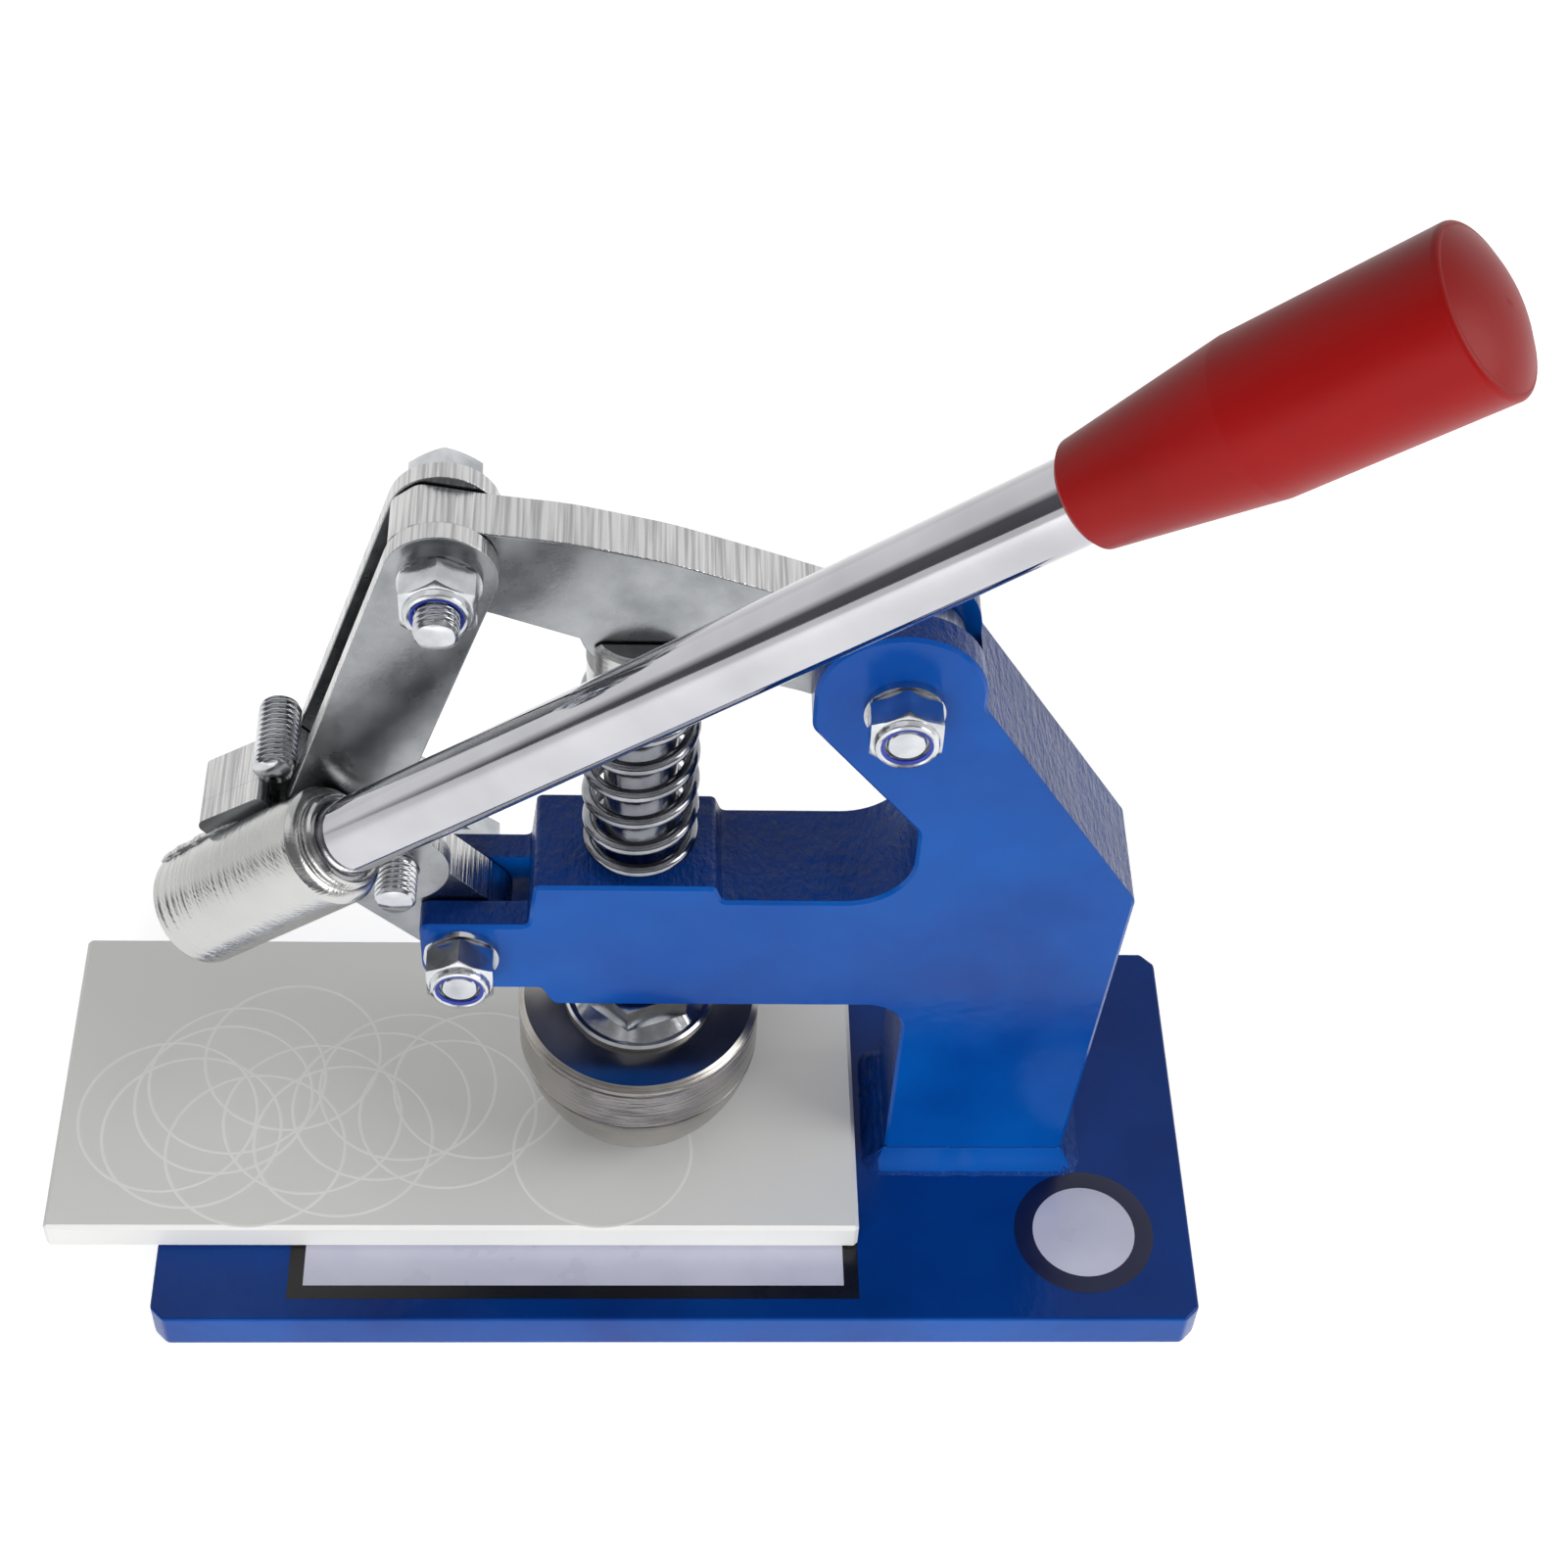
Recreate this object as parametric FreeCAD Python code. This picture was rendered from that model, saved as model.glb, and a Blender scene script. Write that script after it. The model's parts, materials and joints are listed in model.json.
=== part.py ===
import FreeCAD, Part
import math
import os

V = FreeCAD.Vector

# Hand toggle press with a round cutting die. Sizes are in mm and Z is up.
# The die axis is x = 0, y = 0 while building; save() moves the base's middle to the origin.

# Base plate and cutting board
base_length = 220.0
base_depth = 96.0
base_height = 10.0
base_corner = 3.0
base_mid_x = 9.0
base_mid_y = -4.0
board_length = 171.0
board_depth = 75.5
board_height = 7.5
board_left = -124.0
board_front = -34.5
board_edge = 0.8

# C-shaped frame cut from thick plate
frame_thick = 24.0
frame_edge = 0.7
foot_left = 53.5
foot_right = 92.0
arm_bottom = 66.5
block_top = 105.0
block_left = -20.3
block_right = 14.6
notch_floor = 100.7
notch_wall = 52.6
nose_left = -43.0
nose_top = 92.5
nose_bottom = 72.0
ear_left = 30.9
ear_right = 62.1
ear_top = 176.1
ear_radius = (ear_right - ear_left) / 2
ear_straight = 3.0
ear_shoulder = ear_top - ear_radius - ear_straight
ear_low = ear_top - 24.2
notch_top = notch_floor + 21.8
kink = (foot_right + 4.7, 101.6)
block_slope = 1.5
weld_leg = 5.0
weld_cap = 0.5

# Pivots as (x, z) in the plane of the frame
rocker_pivot = (47.2, 158.0)
crank_pivot = (-35.0, 84.0)
link_top = (-34.5, 187.0)
link_bottom = (-46.4, 107.0)

# Moving plates
plate_thick = 10.0
slot_gap = 0.5
link_thick = 4.0
link_gap = 0.3
link_half_width = 10.0
link_run = 69.0
link_lean = 71.0
rocker_pivot_round = 12.0
crank_round = 9.5
crank_angle = 130.0
crank_end_left = (crank_pivot[0] - 48.6, crank_pivot[1] + 37.0)
crank_end_right = (crank_pivot[0] - 29.6, crank_pivot[1] + 48.9)
crank_end_depth = 9.0
stop_place = (crank_end_right[0] - 3.0, crank_end_right[1] + 1.3)
stop_length = 16.0
pad_thick = 5.0
pad_foot_right = 5.8
pad_foot_drop = 10.1
pad_side_drop = 12.2
pad_top_left = 2.6
pad_top_drop = 4.8
lobe_radius = 10.0
lobe_bottom = 159.5
lobe_x = -1.0
rocker_tip = 9.0

# Handle: socket mouth, direction and sizes along the rod
mouth_left = 20.2
mouth_front = 21.2
mouth_rise = 45.9
socket_mouth = V(crank_pivot[0] - mouth_left, -mouth_front, crank_pivot[1] + mouth_rise)
handle_rise = 44.3
handle_lean = 9.4
socket_length = 41.0
socket_radius = 11.4
socket_bore_depth = 32.0
relief_gap = 0.4
relief_reach = 12.0
ring_radius = 9.2
ring_length = 2.6
rod_radius = 7.0
grip_start = 171.0
grip_length = 70.0
grip_bore = 35.0
grip_small_radius = 8.9
grip_knee = 30.0
grip_knee_radius = 12.6
grip_large_radius = 13.2
grip_dome = 3.0

# Fasteners, M8 size
bolt_radius = 4.0
hex_flats = 13.0
head_height = 5.3
nut_hex_height = 6.5
nut_height = 8.0
crown_radius = 5.9
washer_radius = 7.4
washer_thick = 1.5
running_fit = 0.05
stud_reach = 8.0
top_bolt_reach = 4.2
open_pivot_slack = 1.4

# Plunger, spring and die
plunger_radius = 7.0
head_radius = 10.0
head_bottom = 150.0
head_top = 167.0
head_floor = lobe_bottom - 0.3
spigot_radius = 5.0
spigot_length = 6.0
stud_radius = 6.0
die_bottom = 24.8
die_taper_start = 30.0
die_taper_end = 44.0
die_top = 55.0
die_radius = 25.0
edge_radius = 19.0
die_cup_radius = 17.6
die_cup_depth = 14.0
die_chamfer = 1.2
flange_radius = 15.5
flange_height = 2.5
die_nut_flats = 22.0
die_nut_height = 10.0
shoulder_z = 60.0
wire_radius = 1.3
coil_radius = 10.0
end_pitch = 3.3
end_turns = 0.75
full_turns = 6.25
spring_seat_gap = 0.15

half_frame = frame_thick / 2
half_plate = plate_thick / 2
link_in = half_plate + link_gap
link_out = link_in + link_thick
half_slot = half_plate + slot_gap
past = 10.0


def point(place, y):
    return V(place[0], y, place[1])


def outline(corners, y):
    """Closed wire in the plane y through (x, z, radius) corners."""
    count = len(corners)
    starts = []
    ends = []
    middles = []
    for i in range(count):
        x, z, radius = corners[i]
        here = V(x, y, z)
        before = V(corners[i - 1][0], y, corners[i - 1][1])
        after = V(corners[(i + 1) % count][0], y, corners[(i + 1) % count][1])
        to_before = (before - here).normalize()
        to_after = (after - here).normalize()
        half = to_before.getAngle(to_after) / 2
        back = radius / math.tan(half)
        starts.append(here + to_before * back)
        ends.append(here + to_after * back)
        inward = (to_before + to_after).normalize()
        middles.append(here + inward * (radius / math.sin(half) - radius))
    edges = []
    for i in range(count):
        if corners[i][2] > 0:
            edges.append(Part.Arc(starts[i], middles[i], ends[i]).toShape())
        following = starts[(i + 1) % count]
        if ends[i].distanceToPoint(following) > 1e-6:
            edges.append(Part.makeLine(ends[i], following))
    return Part.Wire(edges)


def plate(corners, y_low, y_high):
    face = Part.Face(outline(corners, y_low))
    return face.extrude(V(0, y_high - y_low, 0))


def bar(place, radius, y_low, y_high):
    """Round bar along Y."""
    return Part.makeCylinder(radius, y_high - y_low, point(place, y_low), V(0, 1, 0))


def hexagon(place, flats, y_low, y_high):
    """Hexagonal prism along Y with one flat on top."""
    corner = flats / math.sqrt(3)
    points = []
    for k in range(7):
        angle = math.radians(60 * k)
        x, z = place[0] + corner * math.cos(angle), place[1] + corner * math.sin(angle)
        points.append(point((x, z), y_low))
    return Part.Face(Part.makePolygon(points)).extrude(V(0, y_high - y_low, 0))


def turned(profile, base, direction):
    """Solid of revolution: profile is (radius, distance along direction) points."""
    points = [V(r, 0, along) for r, along in profile]
    points.append(points[0])
    solid = Part.Face(Part.makePolygon(points)).revolve(V(0, 0, 0), V(0, 0, 1), 360)
    solid.Placement = FreeCAD.Placement(base, FreeCAD.Rotation(V(0, 0, 1), direction))
    return solid


def edges_on(shape, y):
    """Edges of the shape that lie in the plane y."""
    flat = []
    for edge in shape.Edges:
        box = edge.BoundBox
        if abs(box.YMin - y) < 1e-4 and abs(box.YMax - y) < 1e-4:
            flat.append(edge)
    return flat


def save(shape, name):
    moved = shape.copy()
    moved.translate(V(-base_mid_x, -base_mid_y, 0))
    if not moved.isValid():
        print("not valid:", name)
    moved.exportStep("parts/" + name + ".step")
    print(name, len(moved.Solids), "solids", round(moved.Volume), "mm3")


os.makedirs("parts", exist_ok=True)

# Base plate with cut corners
base = Part.makeBox(base_length, base_depth, base_height)
base.translate(V(base_mid_x - base_length / 2, base_mid_y - base_depth / 2, 0))
uprights = [e for e in base.Edges if e.BoundBox.ZLength > base_height / 2]
base = base.makeChamfer(base_corner, uprights)
save(base, "base_plate")

# Loose cutting board
board = Part.makeBox(board_length, board_depth, board_height, V(board_left, board_front, base_height))
board = board.makeChamfer(board_edge, board.Edges)
save(board, "cutting_board")

# Frame: foot and column, ear, notch, block with the plunger bore, forked nose
frame_corners = [
    (foot_left, base_height, 0),
    (foot_right, base_height, 0),
    (kink[0], kink[1], 4),
    (ear_right, ear_shoulder, 6),
    (ear_right, ear_top, ear_radius),
    (ear_left, ear_top, ear_radius),
    (ear_left, ear_low, 5),
    (notch_wall, notch_top, 4),
    (notch_wall, notch_floor, 13),
    (block_right + block_slope, notch_floor, 1.5),
    (block_right, block_top, 1.2),
    (block_left, block_top, 1.2),
    (block_left - block_slope, nose_top, 1.5),
    (nose_left, nose_top, 2),
    (nose_left, nose_bottom, 8),
    (block_left + weld_cap, nose_bottom, 1),
    (block_left + 2 * block_slope, arm_bottom, 2),
    (foot_left + weld_cap, arm_bottom, 8),
]
frame = plate(frame_corners, -half_frame, half_frame)
frame = frame.makeChamfer(frame_edge, edges_on(frame, -half_frame) + edges_on(frame, half_frame))
nose_slot = Part.makeBox(
    block_left - block_slope - nose_left + past, 2 * half_slot, nose_top - nose_bottom + 2 * past,
    V(nose_left - past, -half_slot, nose_bottom - past)
)
ear_floor = rocker_pivot[1] - rocker_pivot_round - ear_straight
ear_slot = Part.makeBox(
    ear_right - ear_left + past, 2 * half_slot, ear_top - ear_floor + past,
    V(ear_left - past, -half_slot, ear_floor)
)
plunger_bore = Part.makeCylinder(
    plunger_radius + running_fit, block_top - arm_bottom + 2 * past, V(0, 0, arm_bottom - past)
)
frame = frame.cut(nose_slot).cut(ear_slot).cut(plunger_bore)
for pivot in (rocker_pivot, crank_pivot):
    frame = frame.cut(bar(pivot, bolt_radius + running_fit, -half_frame - 1, half_frame + 1))
save(frame, "c_frame")


def rectangle(x_low, x_high, y_half, z):
    return Part.makePolygon([
        V(x_low, -y_half, z), V(x_high, -y_half, z), V(x_high, y_half, z), V(x_low, y_half, z),
        V(x_low, -y_half, z),
    ])


# Weld fillet all round the foot
weld = Part.makeLoft([
    rectangle(foot_left - weld_leg, foot_right + weld_leg, half_frame + weld_leg, base_height),
    rectangle(foot_left - weld_cap, foot_right + weld_cap, half_frame + weld_cap, base_height + weld_leg),
], True)
save(weld.cut(frame), "foot_weld")


def lock_nut(place, y_seat):
    """Lock nut whose seat is at y_seat and whose crown points to the front."""
    body = hexagon(place, hex_flats, y_seat - nut_hex_height, y_seat)
    body = body.fuse(bar(place, crown_radius, y_seat - nut_height, y_seat - nut_hex_height))
    return body.cut(bar(place, bolt_radius + running_fit, y_seat - nut_height - 1, y_seat + 1))


def washer(place, y_low):
    ring = bar(place, washer_radius, y_low, y_low + washer_thick)
    return ring.cut(bar(place, bolt_radius + running_fit, y_low - 1, y_low + washer_thick + 1))


def bolt(place, y_front, y_seat):
    """Bolt whose head sits behind y_seat and whose end is at y_front."""
    head = hexagon(place, hex_flats, y_seat, y_seat + head_height)
    return bar(place, bolt_radius, y_front, y_seat).fuse(head)


# Pivot fasteners of the frame: two bolts, two lock nuts, four washers
pivot_bolts = []
pivot_nuts = []
pivot_washers = []
frame_seat = half_frame + washer_thick
for pivot in (rocker_pivot, crank_pivot):
    pivot_bolts.append(bolt(pivot, -frame_seat - nut_height + 0.6, frame_seat))
    pivot_nuts.append(lock_nut(pivot, -frame_seat))
    pivot_washers.append(washer(pivot, -frame_seat))
    pivot_washers.append(washer(pivot, half_frame))
save(Part.makeCompound(pivot_bolts), "pivot_bolts")
save(Part.makeCompound(pivot_nuts), "pivot_lock_nuts")
save(Part.makeCompound(pivot_washers), "pivot_washers")

# Rocker arm with a lobe that bears on the plunger
rocker_low = rocker_pivot[1] - rocker_pivot_round
rocker_corners = [
    (link_top[0] - rocker_tip, link_top[1] - 6, 4),
    (link_top[0] - 2, link_top[1] - 10.5, 8),
    (link_top[0] + 7.5, link_top[1] - 12.7, 20),
    (link_top[0] + 24.1, link_top[1] - 19.4, 60),
    (rocker_pivot[0] - 15, rocker_pivot[1] - 4.6, 30),
    (rocker_pivot[0] - 5, rocker_low, 6),
    (rocker_pivot[0] + rocker_pivot_round, rocker_low, rocker_pivot_round - 1),
    (rocker_pivot[0] + rocker_pivot_round, rocker_pivot[1] + 8, 10),
    (rocker_pivot[0] - 25.9, rocker_pivot[1] + 22.9, 60),
    (rocker_pivot[0] - 42.2, rocker_pivot[1] + 29.1, 60),
    (link_top[0] + 22.2, link_top[1] + 4.7, 60),
    (link_top[0] + 8.5, link_top[1] + 6.6, 20),
    (link_top[0] - 4, link_top[1] + 9, 3),
    (link_top[0] - rocker_tip, link_top[1] + 5, 3),
]
rocker = plate(rocker_corners, -half_plate, half_plate)
lobe = bar((lobe_x, lobe_bottom + lobe_radius), lobe_radius, -half_plate, half_plate)
rocker = rocker.fuse(lobe).removeSplitter()
rocker = rocker.cut(bar(rocker_pivot, bolt_radius + running_fit, -half_plate - 1, half_plate + 1))
rocker = rocker.cut(bar(link_top, bolt_radius + open_pivot_slack, -half_plate - 1, half_plate + 1))
save(rocker, "rocker_arm")


def shifted(place, along, distance):
    return (place[0] + along[0] * distance, place[1] + along[1] * distance)


def meet(start, along, other, other_along):
    """Point where two lines in the XZ plane cross."""
    cross = along[0] * other_along[1] - along[1] * other_along[0]
    gap = (other[0] - start[0], other[1] - start[1])
    return shifted(start, along, (gap[0] * other_along[1] - gap[1] * other_along[0]) / cross)


# Bent links: a long straight run from the top pivot, then a knee towards the bottom pivot
run_angle = math.radians(link_lean)
run = (-math.cos(run_angle), -math.sin(run_angle))
run_left = (run[1], -run[0])
knee = shifted(link_top, run, link_run)
toe_length = math.hypot(link_bottom[0] - knee[0], link_bottom[1] - knee[1])
toe = ((link_bottom[0] - knee[0]) / toe_length, (link_bottom[1] - knee[1]) / toe_length)
toe_left = (toe[1], -toe[0])
half_width = link_half_width
top_left = shifted(link_top, run_left, half_width)
top_right = shifted(link_top, run_left, -half_width)
toe_outer = shifted(link_bottom, toe_left, half_width)
toe_inner = shifted(link_bottom, toe_left, -half_width)
link_corners = []
for place, radius in (
    (shifted(top_right, run, -half_width), half_width - 0.01),
    (shifted(top_left, run, -half_width), half_width - 0.01),
    (meet(top_left, run, toe_outer, toe), 12.0),
    (shifted(toe_outer, toe, half_width), half_width - 0.01),
    (shifted(toe_inner, toe, half_width), half_width - 0.01),
    (meet(top_right, run, toe_inner, toe), 6.0),
):
    link_corners.append((place[0], place[1], radius))
for name, y_low in (("link_front", -link_out), ("link_rear", link_in)):
    link = plate(link_corners, y_low, y_low + link_thick)
    for pivot in (link_top, link_bottom):
        link = link.cut(bar(pivot, bolt_radius + running_fit, y_low - 1, y_low + link_thick + 1))
    save(link, name)

# Fasteners of the upper link pivot
link_seat = link_out + washer_thick
save(bolt(link_top, -link_seat - nut_height - top_bolt_reach, link_seat), "link_bolt")
save(lock_nut(link_top, -link_seat), "link_lock_nut")
link_washers = [washer(link_top, -link_seat), washer(link_top, link_out)]
save(Part.makeCompound(link_washers), "link_washers")

# Handle parts share one axis
rise = math.radians(handle_rise)
lean = math.radians(handle_lean)
handle = V(math.cos(rise) * math.cos(lean), -math.sin(lean), math.sin(rise) * math.cos(lean))
socket_back = socket_mouth - handle * socket_length
socket_body = Part.makeCylinder(socket_radius, socket_length, socket_back, handle)

# Crank plate with a saddle for the socket and a groove for the stop pin
crank_rad = math.radians(crank_angle)
crank_along = (math.cos(crank_rad), math.sin(crank_rad))
crank_side = (crank_along[1], -crank_along[0])
crank_foot = shifted(crank_pivot, crank_along, -crank_round)
crank_shoulder = shifted(crank_end_left, crank_along, -crank_end_depth)
crank_corners = []
for place, radius in (
    (shifted(crank_foot, crank_side, crank_round), crank_round - 0.01),
    (crank_end_right, 2.0),
    (crank_end_left, 2.0),
    (crank_shoulder, 4.0),
    (shifted(crank_foot, crank_side, -crank_round), crank_round - 0.01),
):
    crank_corners.append((place[0], place[1], radius))
stop_pin = bar(stop_place, bolt_radius, -stop_length / 2, stop_length / 2)
crank = plate(crank_corners, -half_plate, half_plate)
for pivot in (crank_pivot, link_bottom):
    crank = crank.cut(bar(pivot, bolt_radius + running_fit, -half_plate - 1, half_plate + 1))
crank = crank.cut(socket_body).cut(stop_pin)
save(crank, "crank_plate")
save(stop_pin, "stop_pin")

# Spacer pad between crank and socket
pad_corners = [
    (crank_end_left[0], crank_end_left[1], 2.0),
    (crank_shoulder[0], crank_shoulder[1], 3.0),
    (crank_shoulder[0] + pad_foot_right, crank_shoulder[1] - pad_foot_drop, 3.0),
    (stop_place[0], stop_place[1] - pad_side_drop, 3.0),
    (stop_place[0] - pad_top_left, stop_place[1] - pad_top_drop, 1.5),
]
pad = plate(pad_corners, -half_plate - pad_thick, -half_plate)
save(pad.cut(socket_body).cut(stop_pin), "socket_pad")

# Pin of the lower link pivot: head at the back, bare threaded end at the front
link_pin_back = link_out + link_gap
save(bolt(link_bottom, -link_out - stud_reach, link_pin_back), "link_pin")

# Handle socket with a flat that clears the links, lock ring, rod and grip
socket_bore = Part.makeCylinder(
    rod_radius + running_fit, socket_bore_depth + 1, socket_mouth - handle * socket_bore_depth, handle
)
relief_left = link_bottom[0] - link_half_width - relief_reach
relief = Part.makeBox(
    socket_length, past, 2 * socket_length,
    V(relief_left, -link_out - relief_gap, socket_mouth.z - socket_length)
)
socket = socket_body.cut(socket_bore).cut(relief)
save(socket, "handle_socket")
ring_profile = [
    (rod_radius + running_fit, 0), (ring_radius, 0), (ring_radius, ring_length - 0.6),
    (ring_radius - 0.6, ring_length), (rod_radius + running_fit, ring_length),
]
save(turned(ring_profile, socket_mouth, handle), "lock_ring")
rod_start = -socket_bore_depth + 0.2
rod_end = grip_start + grip_bore - 0.2
rod_profile = [
    (0, rod_start), (rod_radius - 1, rod_start), (rod_radius, rod_start + 1),
    (rod_radius, rod_end - 1), (rod_radius - 1, rod_end), (0, rod_end),
]
save(turned(rod_profile, socket_mouth, handle), "handle_rod")
bore = rod_radius + running_fit
grip_line = [
    V(bore, 0, 0), V(grip_small_radius - 0.8, 0, 0), V(grip_small_radius, 0, 0.8),
    V(grip_knee_radius, 0, grip_knee), V(grip_large_radius, 0, grip_length - grip_dome - 1.0),
]
rim = V(grip_large_radius - 1.0, 0, grip_length - grip_dome)
tip = V(0, 0, grip_length)
ball_radius = (rim.x ** 2 + grip_dome ** 2) / (2 * grip_dome)
dome_middle = V(rim.x / 2, 0, grip_length - ball_radius + math.sqrt(ball_radius ** 2 - rim.x ** 2 / 4))
grip_edges = [Part.makeLine(a, b) for a, b in zip(grip_line[:-1], grip_line[1:])]
rim_middle = V(grip_large_radius - 0.3, 0, grip_length - grip_dome - 0.3)
grip_edges.append(Part.Arc(grip_line[-1], rim_middle, rim).toShape())
grip_edges.append(Part.Arc(rim, dome_middle, tip).toShape())
grip_edges.append(Part.makeLine(tip, V(0, 0, grip_bore)))
grip_edges.append(Part.makeLine(V(0, 0, grip_bore), V(bore, 0, grip_bore)))
grip_edges.append(Part.makeLine(V(bore, 0, grip_bore), grip_line[0]))
grip = Part.Face(Part.Wire(grip_edges)).revolve(V(0, 0, 0), V(0, 0, 1), 360)
grip.Placement = FreeCAD.Placement(socket_mouth + handle * grip_start, FreeCAD.Rotation(V(0, 0, 1), handle))
save(grip, "handle_grip")

# Plunger shaft, forked head, die nut and cutting die on one upright axis
up = V(0, 0, 1)
stud_bottom = die_bottom + die_cup_depth + 4
shaft_profile = [
    (0, stud_bottom), (stud_radius, stud_bottom), (stud_radius, shoulder_z),
    (plunger_radius, shoulder_z + 1), (plunger_radius, head_bottom), (spigot_radius, head_bottom),
    (spigot_radius, head_bottom + spigot_length),
    (0, head_bottom + spigot_length),
]
save(turned(shaft_profile, V(0, 0, 0), up), "plunger_shaft")
head_profile = [
    (spigot_radius + running_fit, head_bottom), (head_radius, head_bottom), (head_radius, head_top - 1),
    (head_radius - 1, head_top), (0, head_top), (0, head_bottom + spigot_length),
    (spigot_radius + running_fit, head_bottom + spigot_length),
]
head = turned(head_profile, V(0, 0, 0), up)
head_slot = Part.makeBox(4 * head_radius, 2 * half_slot, 40, V(-2 * head_radius, -half_slot, head_floor))
save(head.cut(head_slot), "plunger_head")

die_nut = Part.makeCylinder(flange_radius, flange_height, V(0, 0, die_top))
nut_points = []
for k in range(7):
    angle = math.radians(60 * k + 20)
    nut_corner = die_nut_flats / math.sqrt(3)
    nut_points.append(V(nut_corner * math.cos(angle), nut_corner * math.sin(angle), die_top + flange_height))
nut_hex = Part.Face(Part.makePolygon(nut_points)).extrude(V(0, 0, die_nut_height - flange_height))
nut_trim = Part.makeCone(
    die_nut_flats / 2 + 4.5, die_nut_flats / 2 - 0.6, die_nut_height, V(0, 0, die_top), up
)
nut_hole = Part.makeCylinder(plunger_radius + running_fit, die_nut_height + 2, V(0, 0, die_top - 1))
die_nut = die_nut.fuse(nut_hex.common(nut_trim)).cut(nut_hole)
save(die_nut, "die_nut")

cup_roof = die_bottom + die_cup_depth
die_profile = [
    (die_cup_radius, die_bottom + 2), (edge_radius - 0.3, die_bottom), (edge_radius, die_bottom),
    (edge_radius + 0.4, die_taper_start), (die_radius, die_taper_end), (die_radius, die_top - die_chamfer),
    (die_radius - die_chamfer, die_top), (stud_radius + running_fit, die_top),
    (stud_radius + running_fit, cup_roof), (die_cup_radius, cup_roof),
]
save(turned(die_profile, V(0, 0, 0), up), "cutting_die")

# Return spring: one wire with a closed turn at each end
spring_low = block_top + spring_seat_gap + wire_radius
spring_high = head_bottom - spring_seat_gap - wire_radius
open_turns = full_turns - 2 * end_turns
open_pitch = (spring_high - spring_low - 2 * end_turns * end_pitch) / open_turns


def spring_height(turn):
    if turn < end_turns:
        return spring_low + end_pitch * turn
    if turn > full_turns - end_turns:
        return spring_high - end_pitch * (full_turns - turn)
    return spring_low + end_pitch * end_turns + open_pitch * (turn - end_turns)


def spring_point(turn):
    angle = 2 * math.pi * turn - math.pi / 2
    return V(coil_radius * math.cos(angle), coil_radius * math.sin(angle), spring_height(turn))


def spring_slope(turn):
    low = max(turn - 0.125, 0)
    high = min(turn + 0.125, full_turns)
    climb = (spring_height(high) - spring_height(low)) / (high - low)
    angle = 2 * math.pi * turn - math.pi / 2
    around = 2 * math.pi * coil_radius
    return V(-around * math.sin(angle), around * math.cos(angle), climb).normalize()


def arc_edge(start, tangent, end):
    """Arc from start along tangent to end."""
    chord = end - start
    reach = chord.Length / (2 * math.cos(tangent.getAngle(chord)))
    corner = start + tangent * reach
    middle = (start + end) * 0.5
    bow = corner - middle
    sag = chord.Length / 2 * math.tan(tangent.getAngle(chord) / 2)
    return Part.Arc(start, middle + bow.normalize() * sag, end).toShape()


def biarc(start, tangent, end, end_tangent):
    span = end - start
    total = tangent + end_tangent
    bend = 2 * (1 - tangent.dot(end_tangent))
    lead = span.dot(total)
    reach = (-lead + math.sqrt(lead * lead + bend * span.dot(span))) / bend
    joint = (start + end + (tangent - end_tangent) * reach) * 0.5
    second = arc_edge(end, end_tangent * -1, joint)
    return [arc_edge(start, tangent, joint), second]


spring_edges = []
quarters = int(full_turns * 4)
for k in range(quarters):
    spring_edges += biarc(
        spring_point(k / 4), spring_slope(k / 4), spring_point((k + 1) / 4), spring_slope((k + 1) / 4)
    )
spine = Part.Wire(Part.__sortEdges__(spring_edges))
wire_ring = Part.Wire(Part.makeCircle(wire_radius, spring_point(0), spring_slope(0)))
shell = Part.BRepOffsetAPI.MakePipeShell(spine)
shell.add(wire_ring)
shell.build()
shell.makeSolid()
spring = Part.Solid(shell.shape())
save(spring, "return_spring")

# Least gap between turns, measured on points along the wire
steps = 40
path = [spring_point(k / steps) for k in range(int(full_turns * steps) + 1)]
least = min(
    path[i].distanceToPoint(path[j])
    for i in range(len(path)) for j in range(i + steps // 2, len(path))
)
print("spring least self gap", round(least - 2 * wire_radius, 2), "mm")
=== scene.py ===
import bpy
import bmesh
import json
import math
import random
from mathutils import Matrix, Vector


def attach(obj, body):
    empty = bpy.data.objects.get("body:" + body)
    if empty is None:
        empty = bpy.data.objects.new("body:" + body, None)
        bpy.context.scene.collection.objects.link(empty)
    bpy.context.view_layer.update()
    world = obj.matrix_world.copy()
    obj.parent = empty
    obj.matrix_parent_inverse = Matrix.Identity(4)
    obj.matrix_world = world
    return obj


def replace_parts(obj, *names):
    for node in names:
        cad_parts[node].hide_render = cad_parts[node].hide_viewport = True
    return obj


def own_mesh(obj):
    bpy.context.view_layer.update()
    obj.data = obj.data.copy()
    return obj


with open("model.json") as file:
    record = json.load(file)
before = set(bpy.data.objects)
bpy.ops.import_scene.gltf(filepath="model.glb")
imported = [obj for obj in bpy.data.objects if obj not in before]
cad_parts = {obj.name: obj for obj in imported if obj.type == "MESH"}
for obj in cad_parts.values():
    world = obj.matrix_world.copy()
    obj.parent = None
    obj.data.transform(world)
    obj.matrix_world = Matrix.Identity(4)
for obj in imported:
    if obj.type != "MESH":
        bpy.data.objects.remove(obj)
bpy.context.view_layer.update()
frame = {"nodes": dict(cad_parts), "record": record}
nodes = frame["nodes"]
scene = bpy.context.scene
mm = 0.001
print("frame loaded:", len(nodes), "nodes")

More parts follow.
